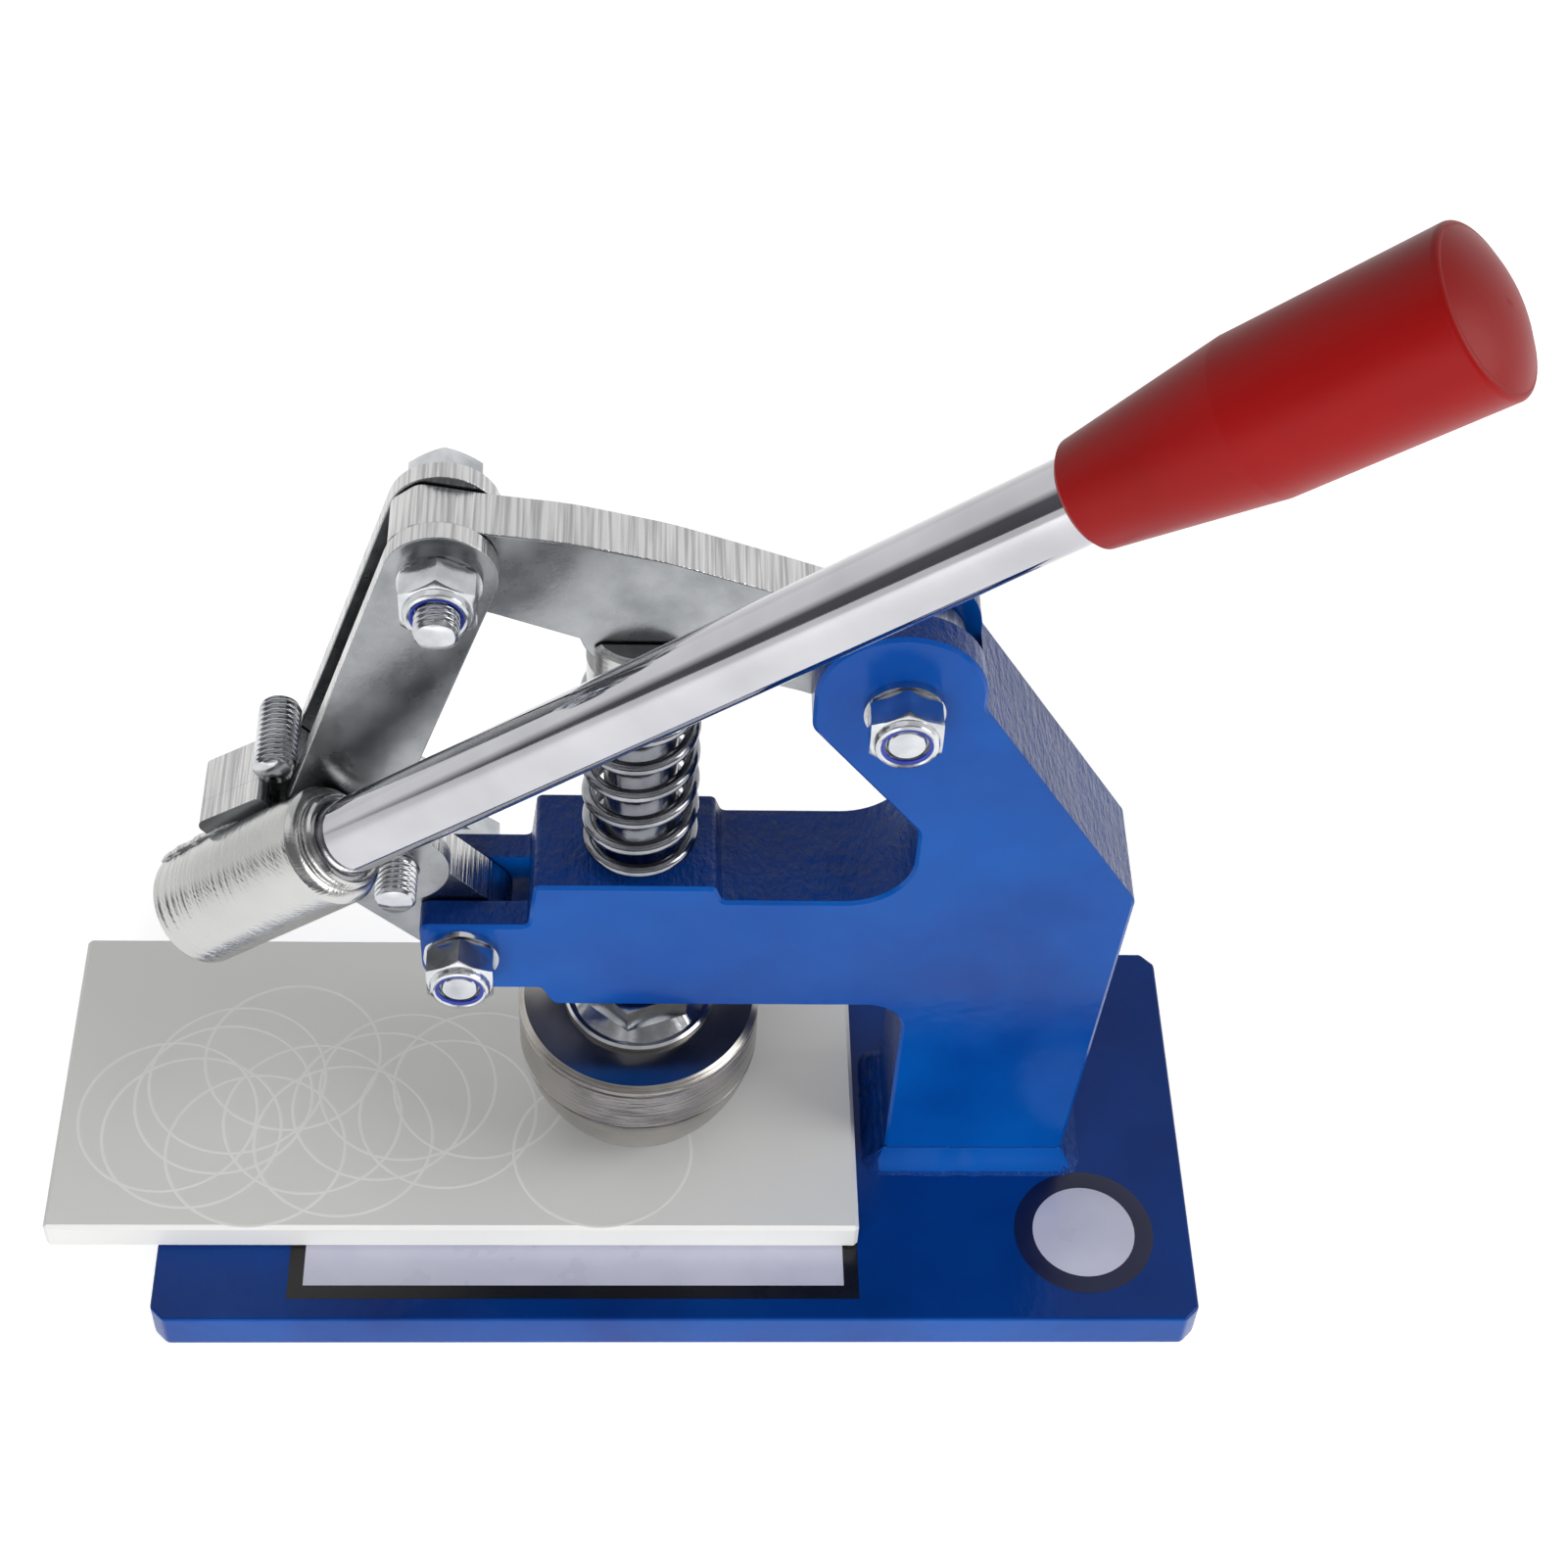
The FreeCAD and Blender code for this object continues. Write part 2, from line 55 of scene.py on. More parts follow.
# places shared by several pieces, in mm: pivots from the frame's joints, the rest as in the part's source
joints = {joint["name"]: joint for joint in frame["record"]["behaviour"]["joints"]}
place = {
    "rockerPivot": [v / mm for v in joints["rocker_turn"]["pos_m"]],
    "crankPivot": [v / mm for v in joints["crank_turn"]["pos_m"]],
    "linkTop": (-43.5, 4.0, 187.0),
    "linkBottom": [v / mm for v in joints["link_turn"]["pos_m"]],
    "stopPin": (-76.6, 4.0, 134.2),
    "plunger": (-9.0, 4.0, 0.0),
    "socketMouth": (-64.2, -17.2, 129.9),
    "handleRise": 44.3,
    "handleLean": 9.4,
}


def srgb(r, g, b):
    out = []
    for part in (r, g, b):
        c = part / 255
        out.append(c / 12.92 if c <= 0.04045 else ((c + 0.055) / 1.055) ** 2.4)
    return (*out, 1.0)


# materials


def newFinish(name, colour, metallic, roughness):
    mat = bpy.data.materials.new(name)
    mat.use_nodes = True
    shader = mat.node_tree.nodes["Principled BSDF"]
    shader.inputs["Base Color"].default_value = colour
    shader.inputs["Metallic"].default_value = metallic
    shader.inputs["Roughness"].default_value = roughness
    return mat, mat.node_tree, shader


def add(tree, kind, **values):
    node = tree.nodes.new(kind)
    for key, value in values.items():
        setattr(node, key, value)
    return node


def calc(tree, operation, a, b=None, c=None):
    node = add(tree, "ShaderNodeMath", operation=operation)
    for i, value in enumerate((a, b, c)):
        if value is None:
            continue
        if isinstance(value, (int, float)):
            node.inputs[i].default_value = value
        else:
            tree.links.new(value, node.inputs[i])
    return node.outputs[0]


def noiseOn(tree, scale, detail=3.0, rough=0.5):
    coords = add(tree, "ShaderNodeTexCoord")
    mapping = add(tree, "ShaderNodeMapping")
    mapping.inputs["Scale"].default_value = scale if isinstance(scale, tuple) else (scale,) * 3
    tree.links.new(coords.outputs["Object"], mapping.inputs["Vector"])
    noise = add(tree, "ShaderNodeTexNoise")
    noise.inputs["Scale"].default_value = 1.0
    noise.inputs["Detail"].default_value = detail
    noise.inputs["Roughness"].default_value = rough
    tree.links.new(mapping.outputs["Vector"], noise.inputs["Vector"])
    return noise.outputs["Fac"]


def ramp(tree, fac, stops):
    node = add(tree, "ShaderNodeValToRGB")
    while len(node.color_ramp.elements) < len(stops):
        node.color_ramp.elements.new(0.5)
    for element, (at, colour) in zip(node.color_ramp.elements, stops):
        element.position = at
        element.color = colour if len(colour) == 4 else (*colour, 1.0)
    tree.links.new(fac, node.inputs["Fac"])
    return node.outputs["Color"]


noiseLow, noiseHigh = 0.3, 0.7  # noise stays mostly between these


def spread(tree, fac, low, high):
    node = add(tree, "ShaderNodeMapRange")
    node.inputs["From Min"].default_value = noiseLow
    node.inputs["From Max"].default_value = noiseHigh
    node.inputs["To Min"].default_value = low
    node.inputs["To Max"].default_value = high
    tree.links.new(fac, node.inputs["Value"])
    return node.outputs["Result"]


def bumpOn(tree, shader, height, strength, depth):
    node = add(tree, "ShaderNodeBump")
    node.inputs["Strength"].default_value = strength
    node.inputs["Distance"].default_value = depth
    tree.links.new(height, node.inputs["Height"])
    tree.links.new(node.outputs["Normal"], shader.inputs["Normal"])


def blend(tree, fac, plain, other):
    node = add(tree, "ShaderNodeMix", data_type="RGBA")
    tree.links.new(fac, node.inputs[0])
    for socket, colour in ((6, plain), (7, other)):
        if isinstance(colour, tuple):
            node.inputs[socket].default_value = colour
        else:
            tree.links.new(colour, node.inputs[socket])
    return node.outputs[2]


def scaled(tree, value, factor):
    return calc(tree, "MULTIPLY", value, factor)


def cutFaceTextureAndShadingMask(tree):
    # 1 on faces that were cut through the plate and on other faces not facing front or back, such as the base's
    # top; 0 on its flat sides. It places the sawn texture and the painted shading of these faces
    coords = add(tree, "ShaderNodeTexCoord")
    split = add(tree, "ShaderNodeSeparateXYZ")
    tree.links.new(coords.outputs["Normal"], split.inputs[0])
    side = calc(tree, "ABSOLUTE", split.outputs["Y"])
    return calc(tree, "LESS_THAN", side, 0.6)


def clouded(tree, shader, look):
    cloud = noiseOn(tree, look["cloud"], 3.0)
    colour = ramp(tree, cloud, ((noiseLow, look["dark"]), (noiseHigh, look["light"])))
    tree.links.new(colour, shader.inputs["Base Color"])
    tree.links.new(spread(tree, cloud, *look["rough"]), shader.inputs["Roughness"])


def plateFinish(name, look):
    mat, tree, shader = newFinish(name, look["light"], 1.0, look["rough"][0])
    cloud = noiseOn(tree, look["cloud"], 5.0, 0.6)
    lines = noiseOn(tree, look["lines"], 2.0)
    mask = cutFaceTextureAndShadingMask(tree)
    plain = ramp(tree, cloud, ((0.32, look["dark"]), (0.68, look["light"])))
    # cut faces are lighter than the flats as a painted highlight, striped along the real saw lines
    cut = ramp(tree, lines, ((0.36, look["cutShadingDark"]), (0.6, look["cutShadingLight"])))
    tree.links.new(blend(tree, mask, plain, cut), shader.inputs["Base Color"])
    tree.links.new(spread(tree, cloud, *look["rough"]), shader.inputs["Roughness"])
    sawn = scaled(tree, calc(tree, "MULTIPLY", lines, mask), look["lineDepth"])
    fine = scaled(tree, noiseOn(tree, look["grain"], 2.0), look["grainDepth"])
    wave = scaled(tree, noiseOn(tree, look["wave"], 2.0), look["waveDepth"])
    height = calc(tree, "ADD", calc(tree, "ADD", sawn, fine), wave)
    bumpOn(tree, shader, height, 1.0, 0.001)
    return mat


def metalFinish(name, look):
    mat, tree, shader = newFinish(name, look["light"], 1.0, look["rough"][0])
    clouded(tree, shader, look)
    bumpOn(tree, shader, noiseOn(tree, look["grain"], 2.0), look["strength"], 0.0004)
    if "spin" in look:  # turned on Z, so highlights stretch across the marks
        tangent = add(tree, "ShaderNodeTangent", direction_type="RADIAL", axis="Z")
        tree.links.new(tangent.outputs[0], shader.inputs["Tangent"])
        shader.inputs["Anisotropic"].default_value = look["spin"]
    return mat


def paintFinish(name, look):
    mat, tree, shader = newFinish(name, look["light"], 0.0, look["rough"][0])
    cloud = noiseOn(tree, look["cloud"], 4.0)
    mask = cutFaceTextureAndShadingMask(tree)
    plain = ramp(tree, cloud, ((noiseLow, look["dark"]), (noiseHigh, look["light"])))
    # tops, cut faces and the base's top take a darker blue: painted shade where less light falls from above
    cut = ramp(tree, cloud, ((noiseLow, look["cutShadingDark"]), (noiseHigh, look["cutShadingLight"])))
    tree.links.new(blend(tree, mask, plain, cut), shader.inputs["Base Color"])
    sheen = noiseOn(tree, look["sheen"], 3.0)
    tree.links.new(spread(tree, sheen, *look["rough"]), shader.inputs["Roughness"])
    peel = scaled(tree, noiseOn(tree, look["peel"], 2.0), look["peelDepth"])
    brush = scaled(tree, noiseOn(tree, look["brush"], 3.0), look["brushDepth"])
    lines = scaled(tree, noiseOn(tree, look["lines"], 2.0), look["lineDepth"])
    pits = scaled(tree, noiseOn(tree, look["pits"], 4.0, 0.65), look["pitDepth"])
    rough = calc(tree, "MULTIPLY", calc(tree, "ADD", lines, pits), mask)
    height = calc(tree, "ADD", calc(tree, "ADD", peel, brush), rough)
    bumpOn(tree, shader, height, 1.0, 0.001)
    shader.inputs["Specular IOR Level"].default_value = look["gloss"]
    return mat


def plasticFinish(name, look):
    mat, tree, shader = newFinish(name, look["light"], 0.0, look["rough"][0])
    clouded(tree, shader, look)
    bumpOn(tree, shader, noiseOn(tree, look["grain"], 3.0), look["strength"], 0.0004)
    if "gloss" in look:
        shader.inputs["Specular IOR Level"].default_value = look["gloss"]
    return mat


paintLook = {
    "dark": srgb(2, 58, 138), "light": srgb(4, 86, 174), "rough": (0.12, 0.24), "gloss": 0.18,
    # the cut colours are painted shade: tops and cut faces darker than the lit front
    "cutShadingDark": srgb(2, 40, 108), "cutShadingLight": srgb(4, 60, 138),
    "cloud": 22, "sheen": 60, "peel": 420, "peelDepth": 0.05, "brush": (30, 160, 30), "brushDepth": 0.4,
    "lines": (620, 25, 620), "lineDepth": 0.25, "pits": (520, 300, 520), "pitDepth": 0.9,
}
# the base keeps the painted shade: its top takes the darker cut colours
baseLook = dict(paintLook, gloss=0.2, lineDepth=0.03, pitDepth=0.05, brush=45, brushDepth=0.2)
plateLook = {
    "dark": srgb(132, 135, 138), "light": srgb(172, 174, 176), "rough": (0.22, 0.34), "cloud": 70,
    # the cut colours are a painted highlight on the top edges, striped by the saw lines
    "cutShadingDark": srgb(176, 176, 176), "cutShadingLight": srgb(220, 220, 219), "wave": 65, "waveDepth": 0.2,
    "lines": (1500, 40, 1500), "lineDepth": 0.34, "grain": 900, "grainDepth": 0.02,
}
boltLook = {
    "dark": srgb(175, 178, 182), "light": srgb(222, 224, 226), "rough": (0.12, 0.24), "cloud": 140,
    "grain": (500, 500, 500), "strength": 0.1,
}
turnedLook = {
    "dark": srgb(182, 182, 181), "light": srgb(204, 204, 202), "rough": (0.15, 0.24), "cloud": 40,
    "grain": (120, 120, 3000), "strength": 0.16,
}
chromeLook = {
    "dark": srgb(180, 180, 184), "light": srgb(202, 202, 206), "rough": (0.05, 0.09), "cloud": 40,
    "grain": (90, 90, 90), "strength": 0.02,
}
dieLook = {
    "dark": srgb(146, 142, 137), "light": srgb(190, 186, 180), "rough": (0.16, 0.26), "cloud": 60,
    "grain": (40, 40, 2600), "strength": 0.3, "spin": 0.75,
}
springLook = {
    "dark": srgb(118, 121, 126), "light": srgb(172, 174, 178), "rough": (0.12, 0.2), "cloud": 130,
    "grain": (700, 700, 700), "strength": 0.08,
}
# darker copy of spring steel for the plunger shaft: painted shade for the dark surroundings it reflects under
# the arm and inside the spring
shadedPlungerLook = dict(springLook, dark=srgb(88, 91, 96), light=srgb(138, 140, 146))
gripLook = {
    "dark": srgb(136, 8, 8), "light": srgb(152, 11, 11), "rough": (0.34, 0.44), "cloud": 30,
    "grain": 260, "strength": 0.04, "gloss": 0.2,
}
boardLook = {
    "dark": srgb(232, 232, 230), "light": srgb(239, 239, 236), "rough": (0.34, 0.48), "cloud": 14,
    "grain": 300, "strength": 0.06,
}
scoreLook = {
    "dark": srgb(248, 248, 246), "light": srgb(252, 252, 250), "rough": (0.55, 0.65), "cloud": 60,
    "grain": 900, "strength": 0.1,
}
nylonLook = {
    "dark": srgb(22, 40, 140), "light": srgb(34, 58, 165), "rough": (0.3, 0.4), "cloud": 300,
    "grain": 900, "strength": 0.05,
}
panelLook = {
    "dark": srgb(196, 197, 216), "light": srgb(208, 209, 226), "rough": (0.25, 0.35), "cloud": 70,
    "grain": 500, "strength": 0.05,
}
borderLook = {
    "dark": srgb(8, 8, 10), "light": srgb(16, 16, 20), "rough": (0.22, 0.3), "cloud": 60,
    "grain": 500, "strength": 0.05,
}
navyLook = {
    "dark": srgb(8, 14, 48), "light": srgb(14, 22, 64), "rough": (0.25, 0.35), "cloud": 90,
    "grain": 500, "strength": 0.05,
}

bluePaint = paintFinish("bluePaint", paintLook)
basePaint = paintFinish("basePaint", baseLook)
zincPlate = plateFinish("zincPlate", plateLook)
boltZinc = metalFinish("boltZinc", boltLook)
turnedZinc = metalFinish("turnedZinc", turnedLook)
chromeRod = metalFinish("chromeRod", chromeLook)
dieSteel = metalFinish("dieSteel", dieLook)
springSteel = metalFinish("springSteel", springLook)
shadedPlungerSteel = metalFinish("shadedPlungerSteel", shadedPlungerLook)
redGrip = plasticFinish("redGrip", gripLook)
boardPlastic = plasticFinish("boardPlastic", boardLook)
scoreMark = plasticFinish("scoreMark", scoreLook)
nylonBlue = plasticFinish("nylonBlue", nylonLook)
panelPale = plasticFinish("panelPale", panelLook)
panelBorder = plasticFinish("panelBorder", borderLook)
stickerNavy = plasticFinish("stickerNavy", navyLook)

nodeFinish = {
    "base_plate": basePaint, "c_frame": bluePaint, "foot_weld": bluePaint,
    "rocker_arm": zincPlate, "link_front": zincPlate, "link_rear": zincPlate,
    "crank_plate": zincPlate, "socket_pad": zincPlate,
    "pivot_bolts": boltZinc, "pivot_lock_nuts": boltZinc, "pivot_washers": boltZinc,
    "link_bolt": boltZinc, "link_lock_nut": boltZinc, "link_washers": boltZinc,
    "link_pin": boltZinc, "stop_pin": boltZinc, "die_nut": boltZinc,
    "handle_socket": turnedZinc, "lock_ring": turnedZinc, "plunger_head": turnedZinc,
    "handle_rod": chromeRod, "plunger_shaft": shadedPlungerSteel, "handle_grip": redGrip,
    "cutting_die": dieSteel, "return_spring": springSteel, "cutting_board": boardPlastic,
}
for name, mat in nodeFinish.items():
    node = nodes[name]
    node.data.materials.clear()
    node.data.materials.append(mat)
print("finishes on", len(nodeFinish), "nodes")


# mesh helpers


def meshObject(name, verts, faces, mats, angle=32):
    mesh = bpy.data.meshes.new(name)
    mesh.from_pydata([Vector(v) for v in verts], [], faces)
    bm = bmesh.new()
    bm.from_mesh(mesh)
    bmesh.ops.remove_doubles(bm, verts=bm.verts, dist=1e-7)
    bmesh.ops.recalc_face_normals(bm, faces=bm.faces)
    bm.to_mesh(mesh)
    bm.free()
    for mat in mats:
        mesh.materials.append(mat)
    mesh.shade_smooth()
    mesh.set_sharp_from_angle(angle=math.radians(angle))
    obj = bpy.data.objects.new(name, mesh)
    scene.collection.objects.link(obj)
    return obj


onAxis = 0.001  # mm, stands for a point on the axis


def lathe(rows, count):
    # rows of radius and height, each a number or a function of the angle, turned round Z
    verts = []
    faces = []
    for radius, height in rows:
        for k in range(count):
            angle = 2 * math.pi * k / count
            r = radius(angle) if callable(radius) else radius
            h = height(angle) if callable(height) else height
            verts.append((r * math.cos(angle), r * math.sin(angle), h))
    for i in range(len(rows)):
        j = (i + 1) % len(rows)
        for k in range(count):
            n = (k + 1) % count
            faces.append((i * count + k, i * count + n, j * count + n, j * count + k))
    return verts, faces


def placed(verts, matrix):
    return [matrix @ Vector(v) for v in verts]


def facing(spot, along):
    # matrix that puts local Z on the direction and the origin on the spot, mm to m
    turn = Vector((0, 0, 1)).rotation_difference(Vector(along)).to_matrix().to_4x4()
    return Matrix.Translation(Vector(spot) * mm) @ turn @ Matrix.Scale(mm, 4)


# geometry node helpers


def newTree(name, inputs):
    tree = bpy.data.node_groups.new(name, "GeometryNodeTree")
    tree.interface.new_socket("Geometry", in_out="INPUT", socket_type="NodeSocketGeometry")
    tree.interface.new_socket("Geometry", in_out="OUTPUT", socket_type="NodeSocketGeometry")
    for label, kind in inputs:
        tree.interface.new_socket(label, in_out="INPUT", socket_type="NodeSocket" + kind)
    return tree, add(tree, "NodeGroupInput"), add(tree, "NodeGroupOutput")


def endTree(tree, given, result, geometry):
    real = add(tree, "GeometryNodeRealizeInstances")
    finish = add(tree, "GeometryNodeSetMaterial")
    tree.links.new(geometry, real.inputs["Geometry"])
    tree.links.new(real.outputs["Geometry"], finish.inputs["Geometry"])
    tree.links.new(given.outputs["Material"], finish.inputs["Material"])
    tree.links.new(finish.outputs["Geometry"], result.inputs["Geometry"])


def grow(tree, name, values, points=((0, 0, 0),), matrix=None, angle=40):
    seed = bpy.data.meshes.new(name + "Seed")
    seed.from_pydata([Vector(p) for p in points], [], [])
    source = bpy.data.objects.new(name + "Seed", seed)
    scene.collection.objects.link(source)
    shape = source.modifiers.new("shape", "NODES")
    shape.node_group = tree
    for item in tree.interface.items_tree:
        if item.in_out == "INPUT" and item.name in values:
            shape[item.identifier] = values[item.name]
    depsgraph = bpy.context.evaluated_depsgraph_get()
    mesh = bpy.data.meshes.new_from_object(source.evaluated_get(depsgraph))
    mesh.name = name
    source.modifiers.remove(shape)
    bpy.data.objects.remove(source)
    if matrix is not None:
        mesh.transform(matrix)
    mesh.shade_smooth()
    mesh.set_sharp_from_angle(angle=math.radians(angle))
    piece = bpy.data.objects.new(name, mesh)
    scene.collection.objects.link(piece)
    return piece


# plates with their edges eased by tumbling or under thick paint

eased = {
    "c_frame": {"name": "framePainted", "edge": 0.8, "body": "frame", "slot": "blue_paint"},
    "base_plate": {"name": "basePainted", "edge": 0.7, "body": "frame", "slot": "blue_paint"},
    "rocker_arm": {"name": "rockerPlated", "edge": 0.35, "body": "rocker", "slot": "zinc_plate"},
    "link_front": {"name": "linkFrontPlated", "edge": 0.3, "body": "links", "slot": "zinc_plate"},
    "link_rear": {"name": "linkRearPlated", "edge": 0.3, "body": "links", "slot": "zinc_plate"},
    "crank_plate": {"name": "crankPlated", "edge": 0.35, "body": "crank", "slot": "zinc_plate"},
}
easing = {"angle": math.radians(35), "flat": math.radians(0.6), "segments": 2}


def easeEdges(node, look):
    mesh = nodes[node].data.copy()
    bm = bmesh.new()
    bm.from_mesh(mesh)
    bmesh.ops.remove_doubles(bm, verts=bm.verts, dist=1e-6)
    bmesh.ops.dissolve_limit(bm, angle_limit=easing["flat"], verts=bm.verts, edges=bm.edges)
    bm.to_mesh(mesh)
    bm.free()
    mesh.shade_smooth()
    source = bpy.data.objects.new(look["name"] + "Source", mesh)
    scene.collection.objects.link(source)
    bevel = source.modifiers.new("edges", "BEVEL")
    bevel.width = look["edge"] * mm
    bevel.segments = easing["segments"]
    bevel.limit_method = "ANGLE"
    bevel.angle_limit = easing["angle"]
    flatten = source.modifiers.new("flats", "WEIGHTED_NORMAL")  # wide faces stay flat beside eased edges
    flatten.weight = 100
    flatten.keep_sharp = True
    depsgraph = bpy.context.evaluated_depsgraph_get()
    done = bpy.data.meshes.new_from_object(
        source.evaluated_get(depsgraph), preserve_all_data_layers=True, depsgraph=depsgraph)
    done.name = look["name"]
    source.modifiers.clear()
    bpy.data.objects.remove(source)
    piece = bpy.data.objects.new(look["name"], done)
    scene.collection.objects.link(piece)
    return piece


for node, look in eased.items():
    piece = easeEdges(node, look)
    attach(piece, look["body"])
    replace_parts(piece, node)
print("edges eased on", len(eased), "plates")


# return spring

spring = {
    "turns": 6.25, "endTurns": 0.75, "endPitch": 3.3, "low": 106.45, "high": 148.55,
    "coil": 10.0, "wire": 1.3, "points": 300, "sides": 14,
    "start": 90.0,  # the wire's lower end is at the back
}


def springTree():
    tree, given, result = newTree("springWire", (
        ("Turns", "Float"), ("End Turns", "Float"), ("End Pitch", "Float"), ("Low", "Float"),
        ("High", "Float"), ("Coil", "Float"), ("Wire", "Float"), ("Start", "Float"), ("Material", "Material")))
    take = given.outputs
    line = add(tree, "GeometryNodeCurvePrimitiveLine")
    fine = add(tree, "GeometryNodeResampleCurve")
    fine.inputs["Count"].default_value = spring["points"]
    tree.links.new(line.outputs["Curve"], fine.inputs["Curve"])
    along = add(tree, "GeometryNodeSplineParameter")
    turn = calc(tree, "MULTIPLY", along.outputs["Factor"], take["Turns"])
    openTurns = calc(tree, "SUBTRACT", take["Turns"], calc(tree, "MULTIPLY", take["End Turns"], 2.0))
    ends = calc(tree, "MULTIPLY", calc(tree, "MULTIPLY", take["End Turns"], take["End Pitch"]), 2.0)
    climb = calc(tree, "SUBTRACT", calc(tree, "SUBTRACT", take["High"], take["Low"]), ends)
    openPitch = calc(tree, "DIVIDE", climb, openTurns)
    first = calc(tree, "MULTIPLY", calc(tree, "MINIMUM", turn, take["End Turns"]), take["End Pitch"])
    past = calc(tree, "MAXIMUM", calc(tree, "SUBTRACT", turn, take["End Turns"]), 0.0)
    middle = calc(tree, "MULTIPLY", calc(tree, "MINIMUM", past, openTurns), openPitch)
    left = calc(tree, "MAXIMUM", calc(tree, "SUBTRACT", past, openTurns), 0.0)
    over = calc(tree, "MULTIPLY", left, take["End Pitch"])
    height = calc(tree, "ADD", calc(tree, "ADD", calc(tree, "ADD", take["Low"], first), middle), over)
    angle = calc(tree, "ADD", calc(tree, "MULTIPLY", turn, 2 * math.pi), take["Start"])
    spot = add(tree, "ShaderNodeCombineXYZ")
    tree.links.new(calc(tree, "MULTIPLY", calc(tree, "COSINE", angle), take["Coil"]), spot.inputs["X"])
    tree.links.new(calc(tree, "MULTIPLY", calc(tree, "SINE", angle), take["Coil"]), spot.inputs["Y"])
    tree.links.new(height, spot.inputs["Z"])
    wound = add(tree, "GeometryNodeSetPosition")
    tree.links.new(fine.outputs["Curve"], wound.inputs["Geometry"])
    tree.links.new(spot.outputs["Vector"], wound.inputs["Position"])
    steady = add(tree, "GeometryNodeSetCurveNormal", mode="Z_UP")
    tree.links.new(wound.outputs["Geometry"], steady.inputs["Curve"])
    ring = add(tree, "GeometryNodeCurvePrimitiveCircle")
    ring.inputs["Resolution"].default_value = spring["sides"]
    tree.links.new(take["Wire"], ring.inputs["Radius"])
    tube = add(tree, "GeometryNodeCurveToMesh")
    tube.inputs["Fill Caps"].default_value = True
    tree.links.new(steady.outputs["Curve"], tube.inputs["Curve"])
    tree.links.new(ring.outputs["Curve"], tube.inputs["Profile Curve"])
    endTree(tree, given, result, tube.outputs["Mesh"])
    return tree


springPiece = grow(springTree(), "springWire", {
    "Turns": spring["turns"], "End Turns": spring["endTurns"], "End Pitch": spring["endPitch"],
    "Low": spring["low"], "High": spring["high"], "Coil": spring["coil"], "Wire": spring["wire"],
    "Start": math.radians(spring["start"]), "Material": springSteel},
    matrix=Matrix.Translation(Vector(place["plunger"]) * mm) @ Matrix.Scale(mm, 4))
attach(springPiece, "frame")
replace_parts(springPiece, "return_spring")
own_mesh(springPiece)
print("spring wound:", len(springPiece.data.polygons), "faces")


# threads

thread = {"crest": 4.0, "root": 3.35, "pitch": 1.25, "lead": 0.7, "blunt": 1.25, "sides": 48, "pitchRows": 10}


def threadTree():
    tree, given, result = newTree("threadedRod", (
        ("Crest", "Float"), ("Root", "Float"), ("Pitch", "Float"), ("Length", "Float"), ("Lead", "Float"),
        ("Rows", "Int"), ("Material", "Material")))
    take = given.outputs
    rod = add(tree, "GeometryNodeMeshCylinder", fill_type="NGON")
    rod.inputs["Vertices"].default_value = thread["sides"]
    tree.links.new(take["Rows"], rod.inputs["Side Segments"])
    tree.links.new(take["Crest"], rod.inputs["Radius"])
    tree.links.new(take["Length"], rod.inputs["Depth"])
    here = add(tree, "GeometryNodeInputPosition")
    split = add(tree, "ShaderNodeSeparateXYZ")
    tree.links.new(here.outputs[0], split.inputs[0])
    around = calc(tree, "DIVIDE", calc(tree, "ARCTAN2", split.outputs["Y"], split.outputs["X"]), 2 * math.pi)
    climb = calc(tree, "DIVIDE", split.outputs["Z"], take["Pitch"])
    step = calc(tree, "FRACT", calc(tree, "SUBTRACT", climb, around))
    away = calc(tree, "ABSOLUTE", calc(tree, "SUBTRACT", step, 0.5))
    ridge = calc(tree, "SUBTRACT", 1.0, calc(tree, "MULTIPLY", away, 2.0))
    ridge = calc(tree, "MINIMUM", calc(tree, "MULTIPLY", ridge, thread["blunt"]), 1.0)
    deep = calc(tree, "SUBTRACT", take["Crest"], take["Root"])
    radius = calc(tree, "ADD", take["Root"], calc(tree, "MULTIPLY", deep, ridge))
    half = calc(tree, "MULTIPLY", take["Length"], 0.5)
    toEnd = calc(tree, "SUBTRACT", half, calc(tree, "ABSOLUTE", split.outputs["Z"]))
    limit = calc(tree, "ADD", calc(tree, "SUBTRACT", take["Crest"], take["Lead"]), toEnd)
    radius = calc(tree, "MINIMUM", radius, limit)
    factor = calc(tree, "DIVIDE", radius, take["Crest"])
    spot = add(tree, "ShaderNodeCombineXYZ")
    tree.links.new(calc(tree, "MULTIPLY", split.outputs["X"], factor), spot.inputs["X"])
    tree.links.new(calc(tree, "MULTIPLY", split.outputs["Y"], factor), spot.inputs["Y"])
    tree.links.new(split.outputs["Z"], spot.inputs["Z"])
    cut = add(tree, "GeometryNodeSetPosition")
    tree.links.new(rod.outputs["Mesh"], cut.inputs["Geometry"])
    tree.links.new(spot.outputs["Vector"], cut.inputs["Position"])
    endTree(tree, given, result, cut.outputs["Geometry"])
    return tree


threads = threadTree()


def threadPiece(name, middle, length, body):
    piece = grow(threads, name, {
        "Crest": thread["crest"], "Root": thread["root"], "Pitch": thread["pitch"], "Length": length,
        "Lead": thread["lead"], "Rows": int(length / thread["pitch"] * thread["pitchRows"]),
        "Material": boltZinc}, matrix=facing(middle, (0, -1, 0)), angle=60)
    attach(piece, body)
    return piece


# nuts, bolt heads and pins

